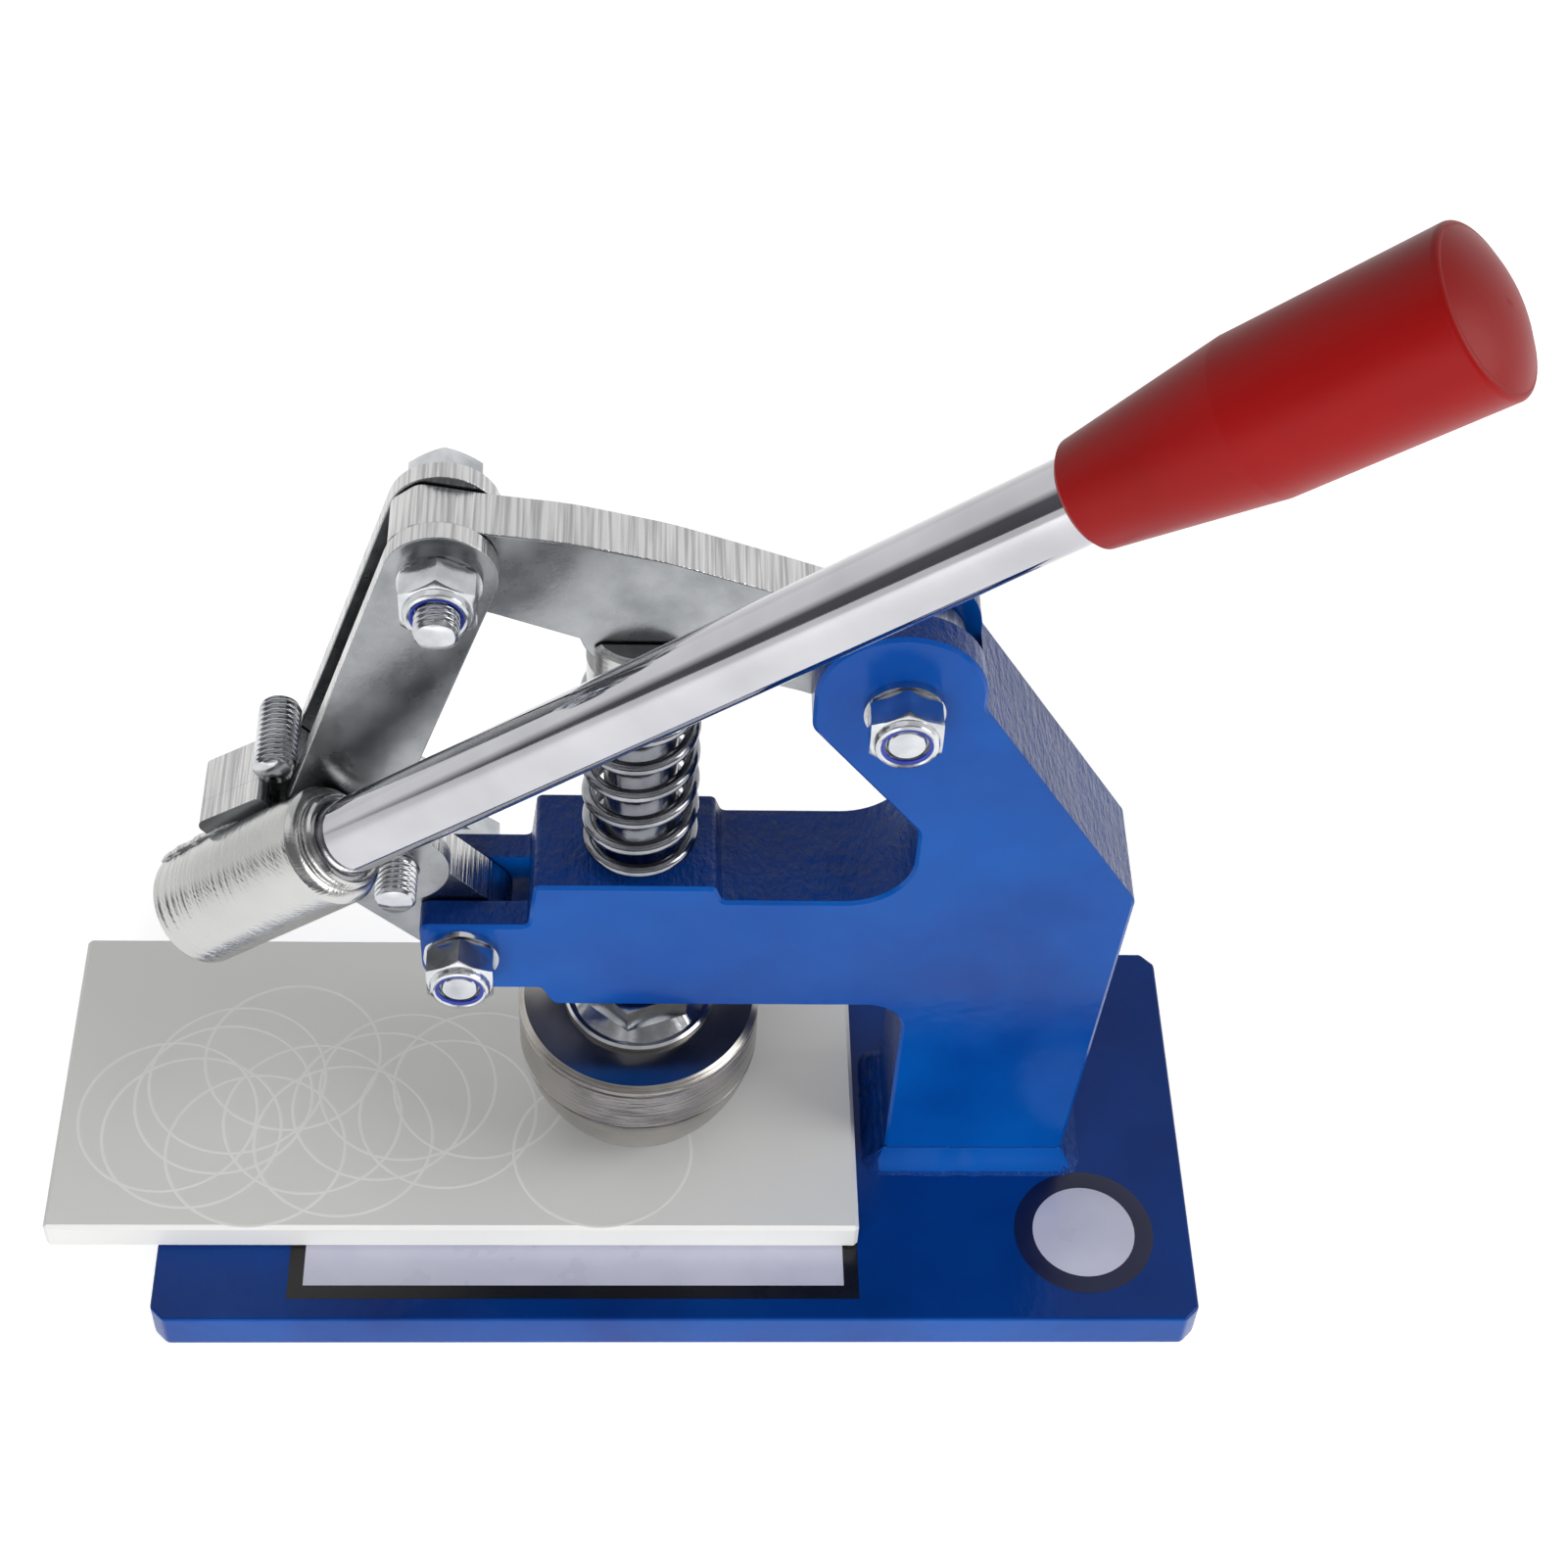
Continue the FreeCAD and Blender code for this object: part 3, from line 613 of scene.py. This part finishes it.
fastener = {
    "flats": 13.0, "hex": 6.5, "nut": 8.0, "crown": 5.9, "hole": 4.05, "head": 5.3, "shank": 4.0,
    "frameSeat": 13.5, "linkSeat": 10.8, "pinSeat": 9.6, "stub": 8.0, "topReach": 4.2,
    "bevel": 0.15, "bite": 0.1, "frameSink": 0.6, "linkSink": 1.0, "pinEnd": 9.4, "stopLength": 16.0,
    "sides": 72,
}


def hexRadius(flats):
    def at(angle):
        part = (angle + math.pi / 6) % (math.pi / 3) - math.pi / 6
        return flats / 2 / math.cos(part)
    return at


def corner(flats, base, sign, slope=0.5):
    full = hexRadius(flats)
    return lambda angle: base + sign * slope * (full(angle) - flats / 2)


def nutRows(f):
    side = hexRadius(f["flats"])
    apo = f["flats"] / 2
    return [
        (f["hole"], 0.0), (apo - f["bevel"], 0.0),  # seat
        (side, corner(f["flats"], f["bevel"], 1)),
        (side, corner(f["flats"], f["hex"] - f["bevel"], -1)), (apo - 0.2, f["hex"]),  # flats
        (f["crown"] + 0.1, f["hex"] + 0.05), (f["crown"], f["hex"] + 0.3),
        (f["crown"], f["nut"] - 0.7), (f["crown"] - 0.25, f["nut"] - 0.2),  # rolled crown
        (f["crown"] - 0.75, f["nut"]), (f["crown"] - 1.15, f["nut"] - 0.2),
        (f["hole"] + 0.5, f["nut"] - 0.75), (f["hole"], f["nut"] - 0.8),
    ]


def ringRows(f):
    # nylon ring inside the crown
    low, inner, outer = f["nut"] - 1.2, f["hole"] + 0.02, f["hole"] + 0.9
    return [(inner, low), (outer, low), (outer, f["nut"] - 0.35), (f["hole"] + 0.45, f["nut"] - 0.22),
            (inner, f["nut"] - 0.4)]


def headRows(f):
    side = hexRadius(f["flats"])
    apo = f["flats"] / 2
    return [
        (onAxis, 0.0), (apo - f["bevel"], 0.0), (side, corner(f["flats"], 0.12, 1)),  # seat
        (side, corner(f["flats"], f["head"] - f["bevel"], -1)), (apo - 0.3, f["head"]),  # flats
        (apo - 1.6, f["head"]), (apo - 2.0, f["head"] - 0.25), (onAxis, f["head"] - 0.25),  # dished top
    ]


def shankRows(f, low, high, point=0.7):
    r = f["shank"]
    return [(onAxis, low), (r - point, low), (r, low + point), (r, high), (onAxis, high)]


nutSetTree, nutGiven, nutResult = newTree("fastenerSet", (("Shape", "Object"), ("Material", "Material")))
info = add(nutSetTree, "GeometryNodeObjectInfo")
nutSetTree.links.new(nutGiven.outputs["Shape"], info.inputs["Object"])
spots = add(nutSetTree, "GeometryNodeInstanceOnPoints")
nutSetTree.links.new(nutGiven.outputs["Geometry"], spots.inputs["Points"])
nutSetTree.links.new(info.outputs["Geometry"], spots.inputs["Instance"])
endTree(nutSetTree, nutGiven, nutResult, spots.outputs["Instances"])


def fastenerSet(name, rows, along, points, body, replaced=(), mat=boltZinc):
    verts, faces = lathe(rows, fastener["sides"])
    shape = meshObject(name + "Shape", placed(verts, facing((0, 0, 0), along)), faces, [mat])
    values = {"Shape": shape, "Material": mat}
    piece = grow(nutSetTree, name, values, [Vector(p) * mm for p in points], angle=32)
    bpy.data.objects.remove(shape)
    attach(piece, body)
    if replaced:
        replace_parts(piece, *replaced)
    return piece


def shiftY(spot, y):
    return (spot[0], spot[1] + y, spot[2])


front = (0, -1, 0)
back = (0, 1, 0)
f = fastener
pivots = [place["rockerPivot"], place["crankPivot"]]
nutSpots = [shiftY(spot, -f["frameSeat"]) for spot in pivots]
headSpots = [shiftY(spot, f["frameSeat"]) for spot in pivots]
shank = shankRows(f, -f["frameSeat"] - f["nut"] + f["frameSink"], f["frameSeat"] + f["bite"])
fastenerSet("frameNuts", nutRows(f), front, nutSpots, "frame", ["pivot_lock_nuts"])
fastenerSet("frameNutInserts", ringRows(f), front, nutSpots, "frame", mat=nylonBlue)
fastenerSet("frameBoltHeads", headRows(f), back, headSpots, "frame", ["pivot_bolts"])
fastenerSet("frameBoltShanks", shank, back, pivots, "frame")

top = place["linkTop"]
nutSpot = shiftY(top, -f["linkSeat"])
shank = shankRows(f, -f["linkSeat"] - f["nut"] + f["linkSink"], f["linkSeat"] + f["bite"])
fastenerSet("linkNut", nutRows(f), front, [nutSpot], "links", ["link_lock_nut"])
fastenerSet("linkNutInsert", ringRows(f), front, [nutSpot], "links", mat=nylonBlue)
fastenerSet("linkBoltHead", headRows(f), back, [shiftY(top, f["linkSeat"])], "links", ["link_bolt"])
fastenerSet("linkBoltShank", shank, back, [top], "links")
endMiddle = -f["linkSeat"] - f["nut"] + (f["linkSink"] - f["topReach"]) / 2
threadPiece("linkBoltThread", shiftY(top, endMiddle), f["topReach"] + f["linkSink"], "links")

pin = place["linkBottom"]
shank = shankRows(f, -f["pinEnd"], f["pinSeat"] + f["bite"])
fastenerSet("linkPinHead", headRows(f), back, [shiftY(pin, f["pinSeat"])], "crank", ["link_pin"])
fastenerSet("linkPinShank", shank, back, [pin], "crank")
threadPiece("linkPinThread", shiftY(pin, f["bite"] - f["pinEnd"] - f["stub"] / 2), f["stub"], "crank")
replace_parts(threadPiece("stopPinThread", place["stopPin"], f["stopLength"], "crank"), "stop_pin")
print("fasteners made")


# handle socket with turning marks, lock ring

rise = math.radians(place["handleRise"])
lean = math.radians(place["handleLean"])
handleWay = Vector((math.cos(rise) * math.cos(lean), -math.sin(lean), math.sin(rise) * math.cos(lean)))
socket = {
    "length": 41.0, "radius": 11.4, "bore": 7.05, "boreDepth": 32.0, "ridge": 0.13, "rows": 150, "seed": 4,
    "reliefX": -77.4, "reliefY": -5.7,  # flat that lets the links pass
}


def socketRows(s):
    draw = random.Random(s["seed"])
    end = -s["length"]
    rows = [(onAxis, end), (s["radius"] - 1.4, end), (s["radius"] - 0.4, end + 0.5)]
    for k in range(s["rows"]):
        along = end + 0.9 + (s["length"] - 2.4) * k / (s["rows"] - 1)
        coarse = max(0.25, 1.0 - k / s["rows"] * 1.1)  # marks grow finer towards the mouth
        rows.append((s["radius"] - 0.02 - s["ridge"] * coarse * draw.random(), along))
    rows += [(s["radius"] - 0.15, -1.3), (s["radius"] - 1.3, 0.0), (s["bore"] + 1.6, 0.0),  # rim
             (s["bore"] + 0.9, -1.0), (s["bore"] + 0.9, -1.6), (s["bore"], -2.2),
             (s["bore"], -s["boreDepth"]), (onAxis, -s["boreDepth"])]
    return rows


verts, faces = lathe(socketRows(socket), 96)
verts = placed(verts, facing(place["socketMouth"], handleWay))
for v in verts:
    if v.x > socket["reliefX"] * mm and v.y > socket["reliefY"] * mm:
        v.y = socket["reliefY"] * mm
socketPiece = meshObject("handleSocketTurned", verts, faces, [turnedZinc], 50)
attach(socketPiece, "crank")
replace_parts(socketPiece, "handle_socket")

collar = {"inner": 7.05, "outer": 9.2, "length": 2.6, "grooves": 2, "groove": 0.75}


def collarRows(c):
    rows = [(c["inner"], 0.0), (c["outer"], 0.0)]
    for k in range(c["grooves"]):
        at = c["length"] * (k + 0.6) / (c["grooves"] + 0.4)
        deep = c["outer"] - c["groove"]
        rows += [(c["outer"] - 0.1, at - 0.42), (deep, at - 0.1), (deep, at + 0.1),
                 (c["outer"] - 0.1 - 0.2 * k, at + 0.34)]
    rows += [(c["outer"] - 0.7, c["length"]), (c["inner"] + 0.7, c["length"]),
             (c["inner"], c["length"] - 0.5)]
    return rows


verts, faces = lathe(collarRows(collar), 72)
verts = placed(verts, facing(place["socketMouth"], handleWay))
collarPiece = meshObject("lockRingGrooved", verts, faces, [turnedZinc], 40)
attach(collarPiece, "crank")
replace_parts(collarPiece, "lock_ring")
print("handle socket turned")


# die and its nut

die = {
    "top": 55.0, "bottom": 24.8, "radius": 25.0, "chamfer": 1.2, "cone": 40.5, "edge": 19.0, "land": 0.3,
    "swell": 0.9,  # the cone is ground a little full
    "cup": 17.6, "cupDepth": 14.0, "flare": 2.0, "bore": 6.05, "rows": 26, "ridge": 0.05, "seed": 9,
    "groove": 0.22, "grooveHalf": 0.3, "grooveLow": 0.9, "grooveHigh": 1.3,
}


def dieRows(d):
    draw = random.Random(d["seed"])
    roof = d["bottom"] + d["cupDepth"]
    rows = [(d["bore"], roof), (d["cup"], roof), (d["cup"], d["bottom"] + d["flare"]),
            (d["edge"] - d["land"], d["bottom"])]
    for k in range(d["rows"] + 1):
        share = k / d["rows"]
        swell = d["swell"] * math.sin(math.pi * share)
        radius = d["edge"] + (d["radius"] - d["edge"]) * share + swell - d["ridge"] * draw.random()
        rows.append((radius, d["bottom"] + (d["cone"] - d["bottom"]) * share))
    for at in (d["cone"] + d["grooveLow"], d["top"] - d["chamfer"] - d["grooveHigh"]):
        rows += [(d["radius"], at - d["grooveHalf"]), (d["radius"] - d["groove"], at),
                 (d["radius"], at + d["grooveHalf"])]
    rows += [(d["radius"], d["top"] - d["chamfer"]), (d["radius"] - d["chamfer"], d["top"]),
             (d["bore"], d["top"])]
    return rows


verts, faces = lathe(dieRows(die), 128)
verts = placed(verts, facing(place["plunger"], (0, 0, 1)))
diePiece = meshObject("cuttingDieGround", verts, faces, [dieSteel], 24)
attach(diePiece, "plunger")
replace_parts(diePiece, "cutting_die")

dieNut = {
    "low": 55.0, "height": 10.0, "rim": 15.5, "rimHeight": 1.5, "skirt": 3.1, "flats": 22.0, "hole": 7.05,
    "turn": -10.0,
}


def dieNutRows(n):
    side = hexRadius(n["flats"])
    low, high = n["low"], n["low"] + n["height"]
    rim, rimTop = n["rim"], n["low"] + n["rimHeight"]
    return [
        (n["hole"], low), (rim - 0.5, low), (rim, low + 0.45), (rim, rimTop - 0.5), (rim - 0.5, rimTop),
        (rim - 1.2, rimTop), (rim - 1.5, rimTop - 0.25),  # step inside the rim
        (side, low + n["skirt"]), (side, corner(n["flats"], high - 0.15, -1)),  # slope, then flats
        (n["flats"] / 2 - 0.3, high), (n["hole"] + 0.8, high), (n["hole"], high - 0.8),
    ]


verts, faces = lathe(dieNutRows(dieNut), 96)
nutTurn = facing(place["plunger"], (0, 0, 1)) @ Matrix.Rotation(math.radians(dieNut["turn"]), 4, "Z")
nutPiece = meshObject("dieNutFlanged", placed(verts, nutTurn), faces, [boltZinc], 28)
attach(nutPiece, "plunger")
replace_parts(nutPiece, "die_nut")
print("die ground, nut flanged")


# weld beads

footBead = {
    "left": 44.5, "right": 83.0, "front": -8.0, "back": 16.0, "z": 10.0,
    "leg": 4.9, "hollow": 0.62, "root": 0.5,
    "cornerSteps": 12, "runSteps": 30, "profile": 9, "waves": 5, "even": 0.93, "ripple": 0.06, "seed": 7,
}


def footBeadPath(b):
    path = []
    corners = [(b["right"], b["back"], 0), (b["left"], b["back"], 90), (b["left"], b["front"], 180),
               (b["right"], b["front"], 270)]
    for i, (x, y, start) in enumerate(corners):
        for k in range(b["cornerSteps"] + 1):
            turn = math.radians(start + 90 * k / b["cornerSteps"])
            path.append((x, y, math.cos(turn), math.sin(turn)))
        nextX, nextY, _ = corners[(i + 1) % 4]
        out = math.radians(start + 90)
        for k in range(1, b["runSteps"]):
            share = k / b["runSteps"]
            path.append((x + (nextX - x) * share, y + (nextY - y) * share, math.cos(out), math.sin(out)))
    return path


def footBeadMesh(b):
    draw = random.Random(b["seed"])
    path = footBeadPath(b)
    verts = []
    faces = []
    wave = [draw.uniform(0, 6.28) for _ in range(b["waves"])]
    full, hollow = 1 - b["hollow"], b["hollow"]
    for n, (x, y, outX, outY) in enumerate(path):
        t = 2 * math.pi * n / len(path)
        lump = sum(math.sin(t * (11 + 7 * q) + wave[q]) for q in range(b["waves"])) / b["waves"]
        leg = b["leg"] * (b["even"] + b["ripple"] * lump)
        for k in range(b["profile"]):
            bend = math.radians(90 * k / (b["profile"] - 1))
            reach = leg * (hollow * (1 - math.sin(bend)) + full * math.cos(bend))
            high = leg * (hollow * (1 - math.cos(bend)) + full * math.sin(bend))
            verts.append((x + outX * reach, y + outY * reach, b["z"] + high))
        for z in (b["z"] + leg, b["z"]):
            verts.append((x - outX * b["root"], y - outY * b["root"], z))
    ring = b["profile"] + 2
    for n in range(len(path)):
        m = (n + 1) % len(path)
        for k in range(ring):
            j = (k + 1) % ring
            faces.append((n * ring + k, m * ring + k, m * ring + j, n * ring + j))
    return [Vector(v) * mm for v in verts], faces


verts, faces = footBeadMesh(footBead)
footPiece = meshObject("footBead", verts, faces, [bluePaint], 70)
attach(footPiece, "frame")
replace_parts(footPiece, "foot_weld")

socketBead = {"from": 40.0, "to": 20.0, "faceY": -6.0, "thick": 1.2, "rings": 34, "around": 12, "seed": 11}


def socketBeadMesh(b):
    draw = random.Random(b["seed"])
    mouth = Vector(place["socketMouth"])
    side = Vector((-math.sin(rise), 0, math.cos(rise)))
    verts = []
    faces = []
    rings, around = b["rings"], b["around"]
    for n in range(rings):
        share = n / (rings - 1)
        axis = mouth - handleWay * (b["from"] + (b["to"] - b["from"]) * share)
        away = b["faceY"] - axis.y
        reach = math.sqrt(max(socket["radius"] ** 2 - away ** 2, 0.5))
        middle = Vector((axis.x, b["faceY"], axis.z)) + side * reach
        ripple = 0.9 + 0.1 * math.sin(n * 0.8) + draw.uniform(-0.06, 0.06)
        taper = min(1, 6 * share + 0.2, 6 * (1 - share) + 0.2)  # thin at both ends
        size = b["thick"] * ripple * taper
        for k in range(around):
            angle = 2 * math.pi * k / around
            verts.append(middle + side * (size * math.cos(angle)) + Vector(front) * (size * math.sin(angle)))
    for n in range(rings - 1):
        for k in range(around):
            j = (k + 1) % around
            faces.append((n * around + k, n * around + j, (n + 1) * around + j, (n + 1) * around + k))
    faces.append(tuple(range(around)))
    faces.append(tuple((rings - 1) * around + k for k in range(around)))
    return [v * mm for v in verts], faces


verts, faces = socketBeadMesh(socketBead)
socketBeadPiece = meshObject("socketBead", verts, faces, [zincPlate], 70)
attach(socketBeadPiece, "crank")
print("beads laid")


# cut circles on the board

cuts = {
    "radius": 19.0, "line": 0.36, "flat": 0.07, "z": 17.5, "sides": 128, "lineSides": 6,
    "step": 0.0015,  # no two marks share a plane
    "spots": [(-84.5, 13.0), (-98.5, 2.0), (-104.5, -6.5), (-90.5, -11.0), (-79.0, -3.0), (-72.0, -8.5),
              (-64.5, 0.5), (-59.0, 5.5), (-50.0, -1.5), (-96.0, 7.0), (-110.0, -2.5), (-16.5, -11.0),
              (-43.0, 6.0)],
}


def cutTree():
    tree, given, result = newTree("cutCircles", (
        ("Radius", "Float"), ("Line", "Float"), ("Flat", "Float"), ("Material", "Material")))
    take = given.outputs
    circle = add(tree, "GeometryNodeCurvePrimitiveCircle")
    circle.inputs["Resolution"].default_value = cuts["sides"]
    tree.links.new(take["Radius"], circle.inputs["Radius"])
    wire = add(tree, "GeometryNodeCurvePrimitiveCircle")
    wire.inputs["Resolution"].default_value = cuts["lineSides"]
    tree.links.new(take["Line"], wire.inputs["Radius"])
    tube = add(tree, "GeometryNodeCurveToMesh")
    tree.links.new(circle.outputs["Curve"], tube.inputs["Curve"])
    tree.links.new(wire.outputs["Curve"], tube.inputs["Profile Curve"])
    press = add(tree, "ShaderNodeCombineXYZ")
    press.inputs["X"].default_value = 1.0
    press.inputs["Y"].default_value = 1.0
    tree.links.new(take["Flat"], press.inputs["Z"])
    low = add(tree, "GeometryNodeTransform")
    tree.links.new(tube.outputs["Mesh"], low.inputs["Geometry"])
    tree.links.new(press.outputs["Vector"], low.inputs["Scale"])
    spot = add(tree, "GeometryNodeInstanceOnPoints")
    tree.links.new(given.outputs["Geometry"], spot.inputs["Points"])
    tree.links.new(low.outputs["Geometry"], spot.inputs["Instance"])
    endTree(tree, given, result, spot.outputs["Instances"])
    return tree


cutPiece = grow(cutTree(), "boardCuts", {
    "Radius": cuts["radius"], "Line": cuts["line"], "Flat": cuts["flat"], "Material": scoreMark},
    [(x, y, cuts["z"] + cuts["step"] * k) for k, (x, y) in enumerate(cuts["spots"])], Matrix.Scale(mm, 4))
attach(cutPiece, "board")
print("board cut:", len(cuts["spots"]), "circles")


# bare label panel and round sticker on the base

label = {"left": -82.0, "right": 38.0, "front": -43.0, "back": 30.0, "border": 3.2, "thick": 0.03, "z": 10.0}
sticker = {"x": 87.0, "y": -26.6, "outer": 15.0, "inner": 11.0, "thick": 0.05, "faceThick": 0.04, "z": 10.0}


def slab(left, right, low, high, z, thick):
    verts = [(left, low, z), (right, low, z), (right, high, z), (left, high, z)]
    verts += [(x, y, z + thick) for x, y, _ in verts]
    faces = [(0, 3, 2, 1), (4, 5, 6, 7)] + [(k, (k + 1) % 4, (k + 1) % 4 + 4, k + 4) for k in range(4)]
    return [Vector(v) * mm for v in verts], faces


def windowed(panel, edge):
    left, right, low, high = panel["left"], panel["right"], panel["front"], panel["back"]
    verts = []
    for inset in (0.0, edge):
        for z in (panel["z"], panel["z"] + panel["thick"]):
            verts += [(left + inset, low + inset, z), (right - inset, low + inset, z),
                      (right - inset, high - inset, z), (left + inset, high - inset, z)]
    faces = []
    for k in range(4):
        j = (k + 1) % 4
        faces += [(k, j, 4 + j, 4 + k), (8 + k, 12 + k, 12 + j, 8 + j),  # outer and inner walls
                  (4 + k, 4 + j, 12 + j, 12 + k), (k, 8 + k, 8 + j, j)]  # top and underside
    return [Vector(v) * mm for v in verts], faces


verts, faces = windowed(label, label["border"])
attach(meshObject("labelBorder", verts, faces, [panelBorder]), "frame")
inset = label["border"]
verts, faces = slab(label["left"] + inset, label["right"] - inset,
                    label["front"] + inset, label["back"] - inset, label["z"], label["thick"])
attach(meshObject("labelPanel", verts, faces, [panelPale]), "frame")


def disc(s, inner, outer, thick):
    inner = max(inner, onAxis)
    low, high = s["z"], s["z"] + thick
    rows = [(inner, low), (outer - 0.05, low), (outer, low + thick * 0.5), (outer - 0.1, high), (inner, high)]
    verts, faces = lathe(rows, 96)
    return placed(verts, facing((s["x"], s["y"], 0), (0, 0, 1))), faces


verts, faces = disc(sticker, sticker["inner"], sticker["outer"], sticker["thick"])
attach(meshObject("stickerRing", verts, faces, [stickerNavy]), "frame")
verts, faces = disc(sticker, 0.0, sticker["inner"], sticker["faceThick"])
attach(meshObject("stickerFace", verts, faces, [panelPale]), "frame")
print("labels placed, bare")


# floor, light, camera

studio = {
    "floor": srgb(238, 238, 238), "reach": 15.0, "lift": 0.66, "ambient": 0.23, "turn": 0.15,
    "behindSky": ((0.0, (1, 1, 1)), (0.3, (0.95, 0.95, 0.95)), (0.62, (0.86, 0.86, 0.87)),
                  (0.9, (0.72, 0.72, 0.73))),
    "frontSky": ((0.0, (0.1, 0.1, 0.11)), (0.3, (0.14, 0.14, 0.16)), (0.5, (0.6, 0.6, 0.61)),
                 (0.75, (0.2, 0.2, 0.21))),
}
white = (1, 1, 1, 1)


def pathSeen(tree):
    path = add(tree, "ShaderNodeLightPath")
    seen = calc(tree, "MAXIMUM", path.outputs["Is Camera Ray"], path.outputs["Is Glossy Ray"])
    return calc(tree, "MAXIMUM", seen, path.outputs["Is Transmission Ray"]), path


reach = studio["reach"]
floorMesh = bpy.data.meshes.new("floor")
floorMesh.from_pydata([(-reach, -reach, 0), (reach, -reach, 0), (reach, reach, 0), (-reach, reach, 0)], [],
                      [(0, 1, 2, 3)])
floor = bpy.data.objects.new("floor", floorMesh)
scene.collection.objects.link(floor)
floorMat, tree, shader = newFinish("paleFloor", studio["floor"], 0.0, 0.9)
seen, _ = pathSeen(tree)
shader.inputs["Emission Color"].default_value = white
tree.links.new(calc(tree, "MULTIPLY", seen, studio["lift"]), shader.inputs["Emission Strength"])
floorMesh.materials.append(floorMat)

# the backdrop is white, and metal shows it paler behind the press than in front
world = bpy.data.worlds.new("studio")
scene.world = world
world.use_nodes = True
tree = world.node_tree
tree.nodes.clear()
output = add(tree, "ShaderNodeOutputWorld")
ambient = add(tree, "ShaderNodeBackground")
ambient.inputs["Color"].default_value = white
ambient.inputs["Strength"].default_value = studio["ambient"]
backdrop = add(tree, "ShaderNodeBackground")
coords = add(tree, "ShaderNodeTexCoord")
split = add(tree, "ShaderNodeSeparateXYZ")
tree.links.new(coords.outputs["Generated"], split.inputs[0])
behindSky = ramp(tree, split.outputs["Z"], studio["behindSky"])
frontSky = ramp(tree, split.outputs["Z"], studio["frontSky"])
side = add(tree, "ShaderNodeMapRange")
side.inputs["From Min"].default_value = -studio["turn"]
side.inputs["From Max"].default_value = studio["turn"]
tree.links.new(split.outputs["Y"], side.inputs["Value"])
room = blend(tree, side.outputs["Result"], frontSky, behindSky)
seen, path = pathSeen(tree)
tree.links.new(blend(tree, path.outputs["Is Camera Ray"], room, white), backdrop.inputs["Color"])
both = add(tree, "ShaderNodeMixShader")
tree.links.new(seen, both.inputs[0])
tree.links.new(ambient.outputs[0], both.inputs[1])
tree.links.new(backdrop.outputs[0], both.inputs[2])
tree.links.new(both.outputs[0], output.inputs["Surface"])

lamps = {
    "frontSoft": {"at": (-0.3, -1.2, 0.42), "to": (0.0, 0.0, 0.1), "size": 0.9, "power": 12.5, "glossy": False},
    "topSoft": {"at": (-0.35, 0.25, 1.25), "to": (0.0, 0.0, 0.08), "size": 0.7, "power": 0.6, "glossy": True},
    "rightSoft": {"at": (1.05, -0.25, 0.7), "to": (0.0, 0.0, 0.1), "size": 0.7, "power": 6.0, "glossy": True},
}
for name, lamp in lamps.items():
    data = bpy.data.lights.new(name, "AREA")
    data.shape = "SQUARE"
    data.size = lamp["size"]
    data.energy = lamp["power"]
    obj = bpy.data.objects.new(name, data)
    obj.location = lamp["at"]
    obj.visible_glossy = lamp["glossy"]
    obj.rotation_mode = "QUATERNION"
    obj.rotation_quaternion = (Vector(lamp["to"]) - Vector(lamp["at"])).to_track_quat("-Z", "Y")
    scene.collection.objects.link(obj)

# camera at the photo's place, in mm, with the focal length in the photo's pixels
view = {
    "at": (-8.58, -349.98, 543.56), "aim": (20.46, 31.26, 90.0), "roll": 3.8326, "focal": 2944.6, "image": 1601,
    "sensor": 36.0,
}
camData = bpy.data.cameras.new("photoView")
camData.sensor_width = view["sensor"]
camData.lens = view["focal"] / view["image"] * view["sensor"]
camData.clip_start = 0.01
camera = bpy.data.objects.new("photoView", camData)
aimed = (Vector(view["aim"]) - Vector(view["at"])).to_track_quat("-Z", "Y").to_matrix().to_4x4()
roll = Matrix.Rotation(math.radians(view["roll"]), 4, "Z")
camera.matrix_world = Matrix.Translation(Vector(view["at"]) * mm) @ aimed @ roll
scene.collection.objects.link(camera)
scene.camera = camera
scene.view_settings.view_transform = "Standard"
print("stage set")
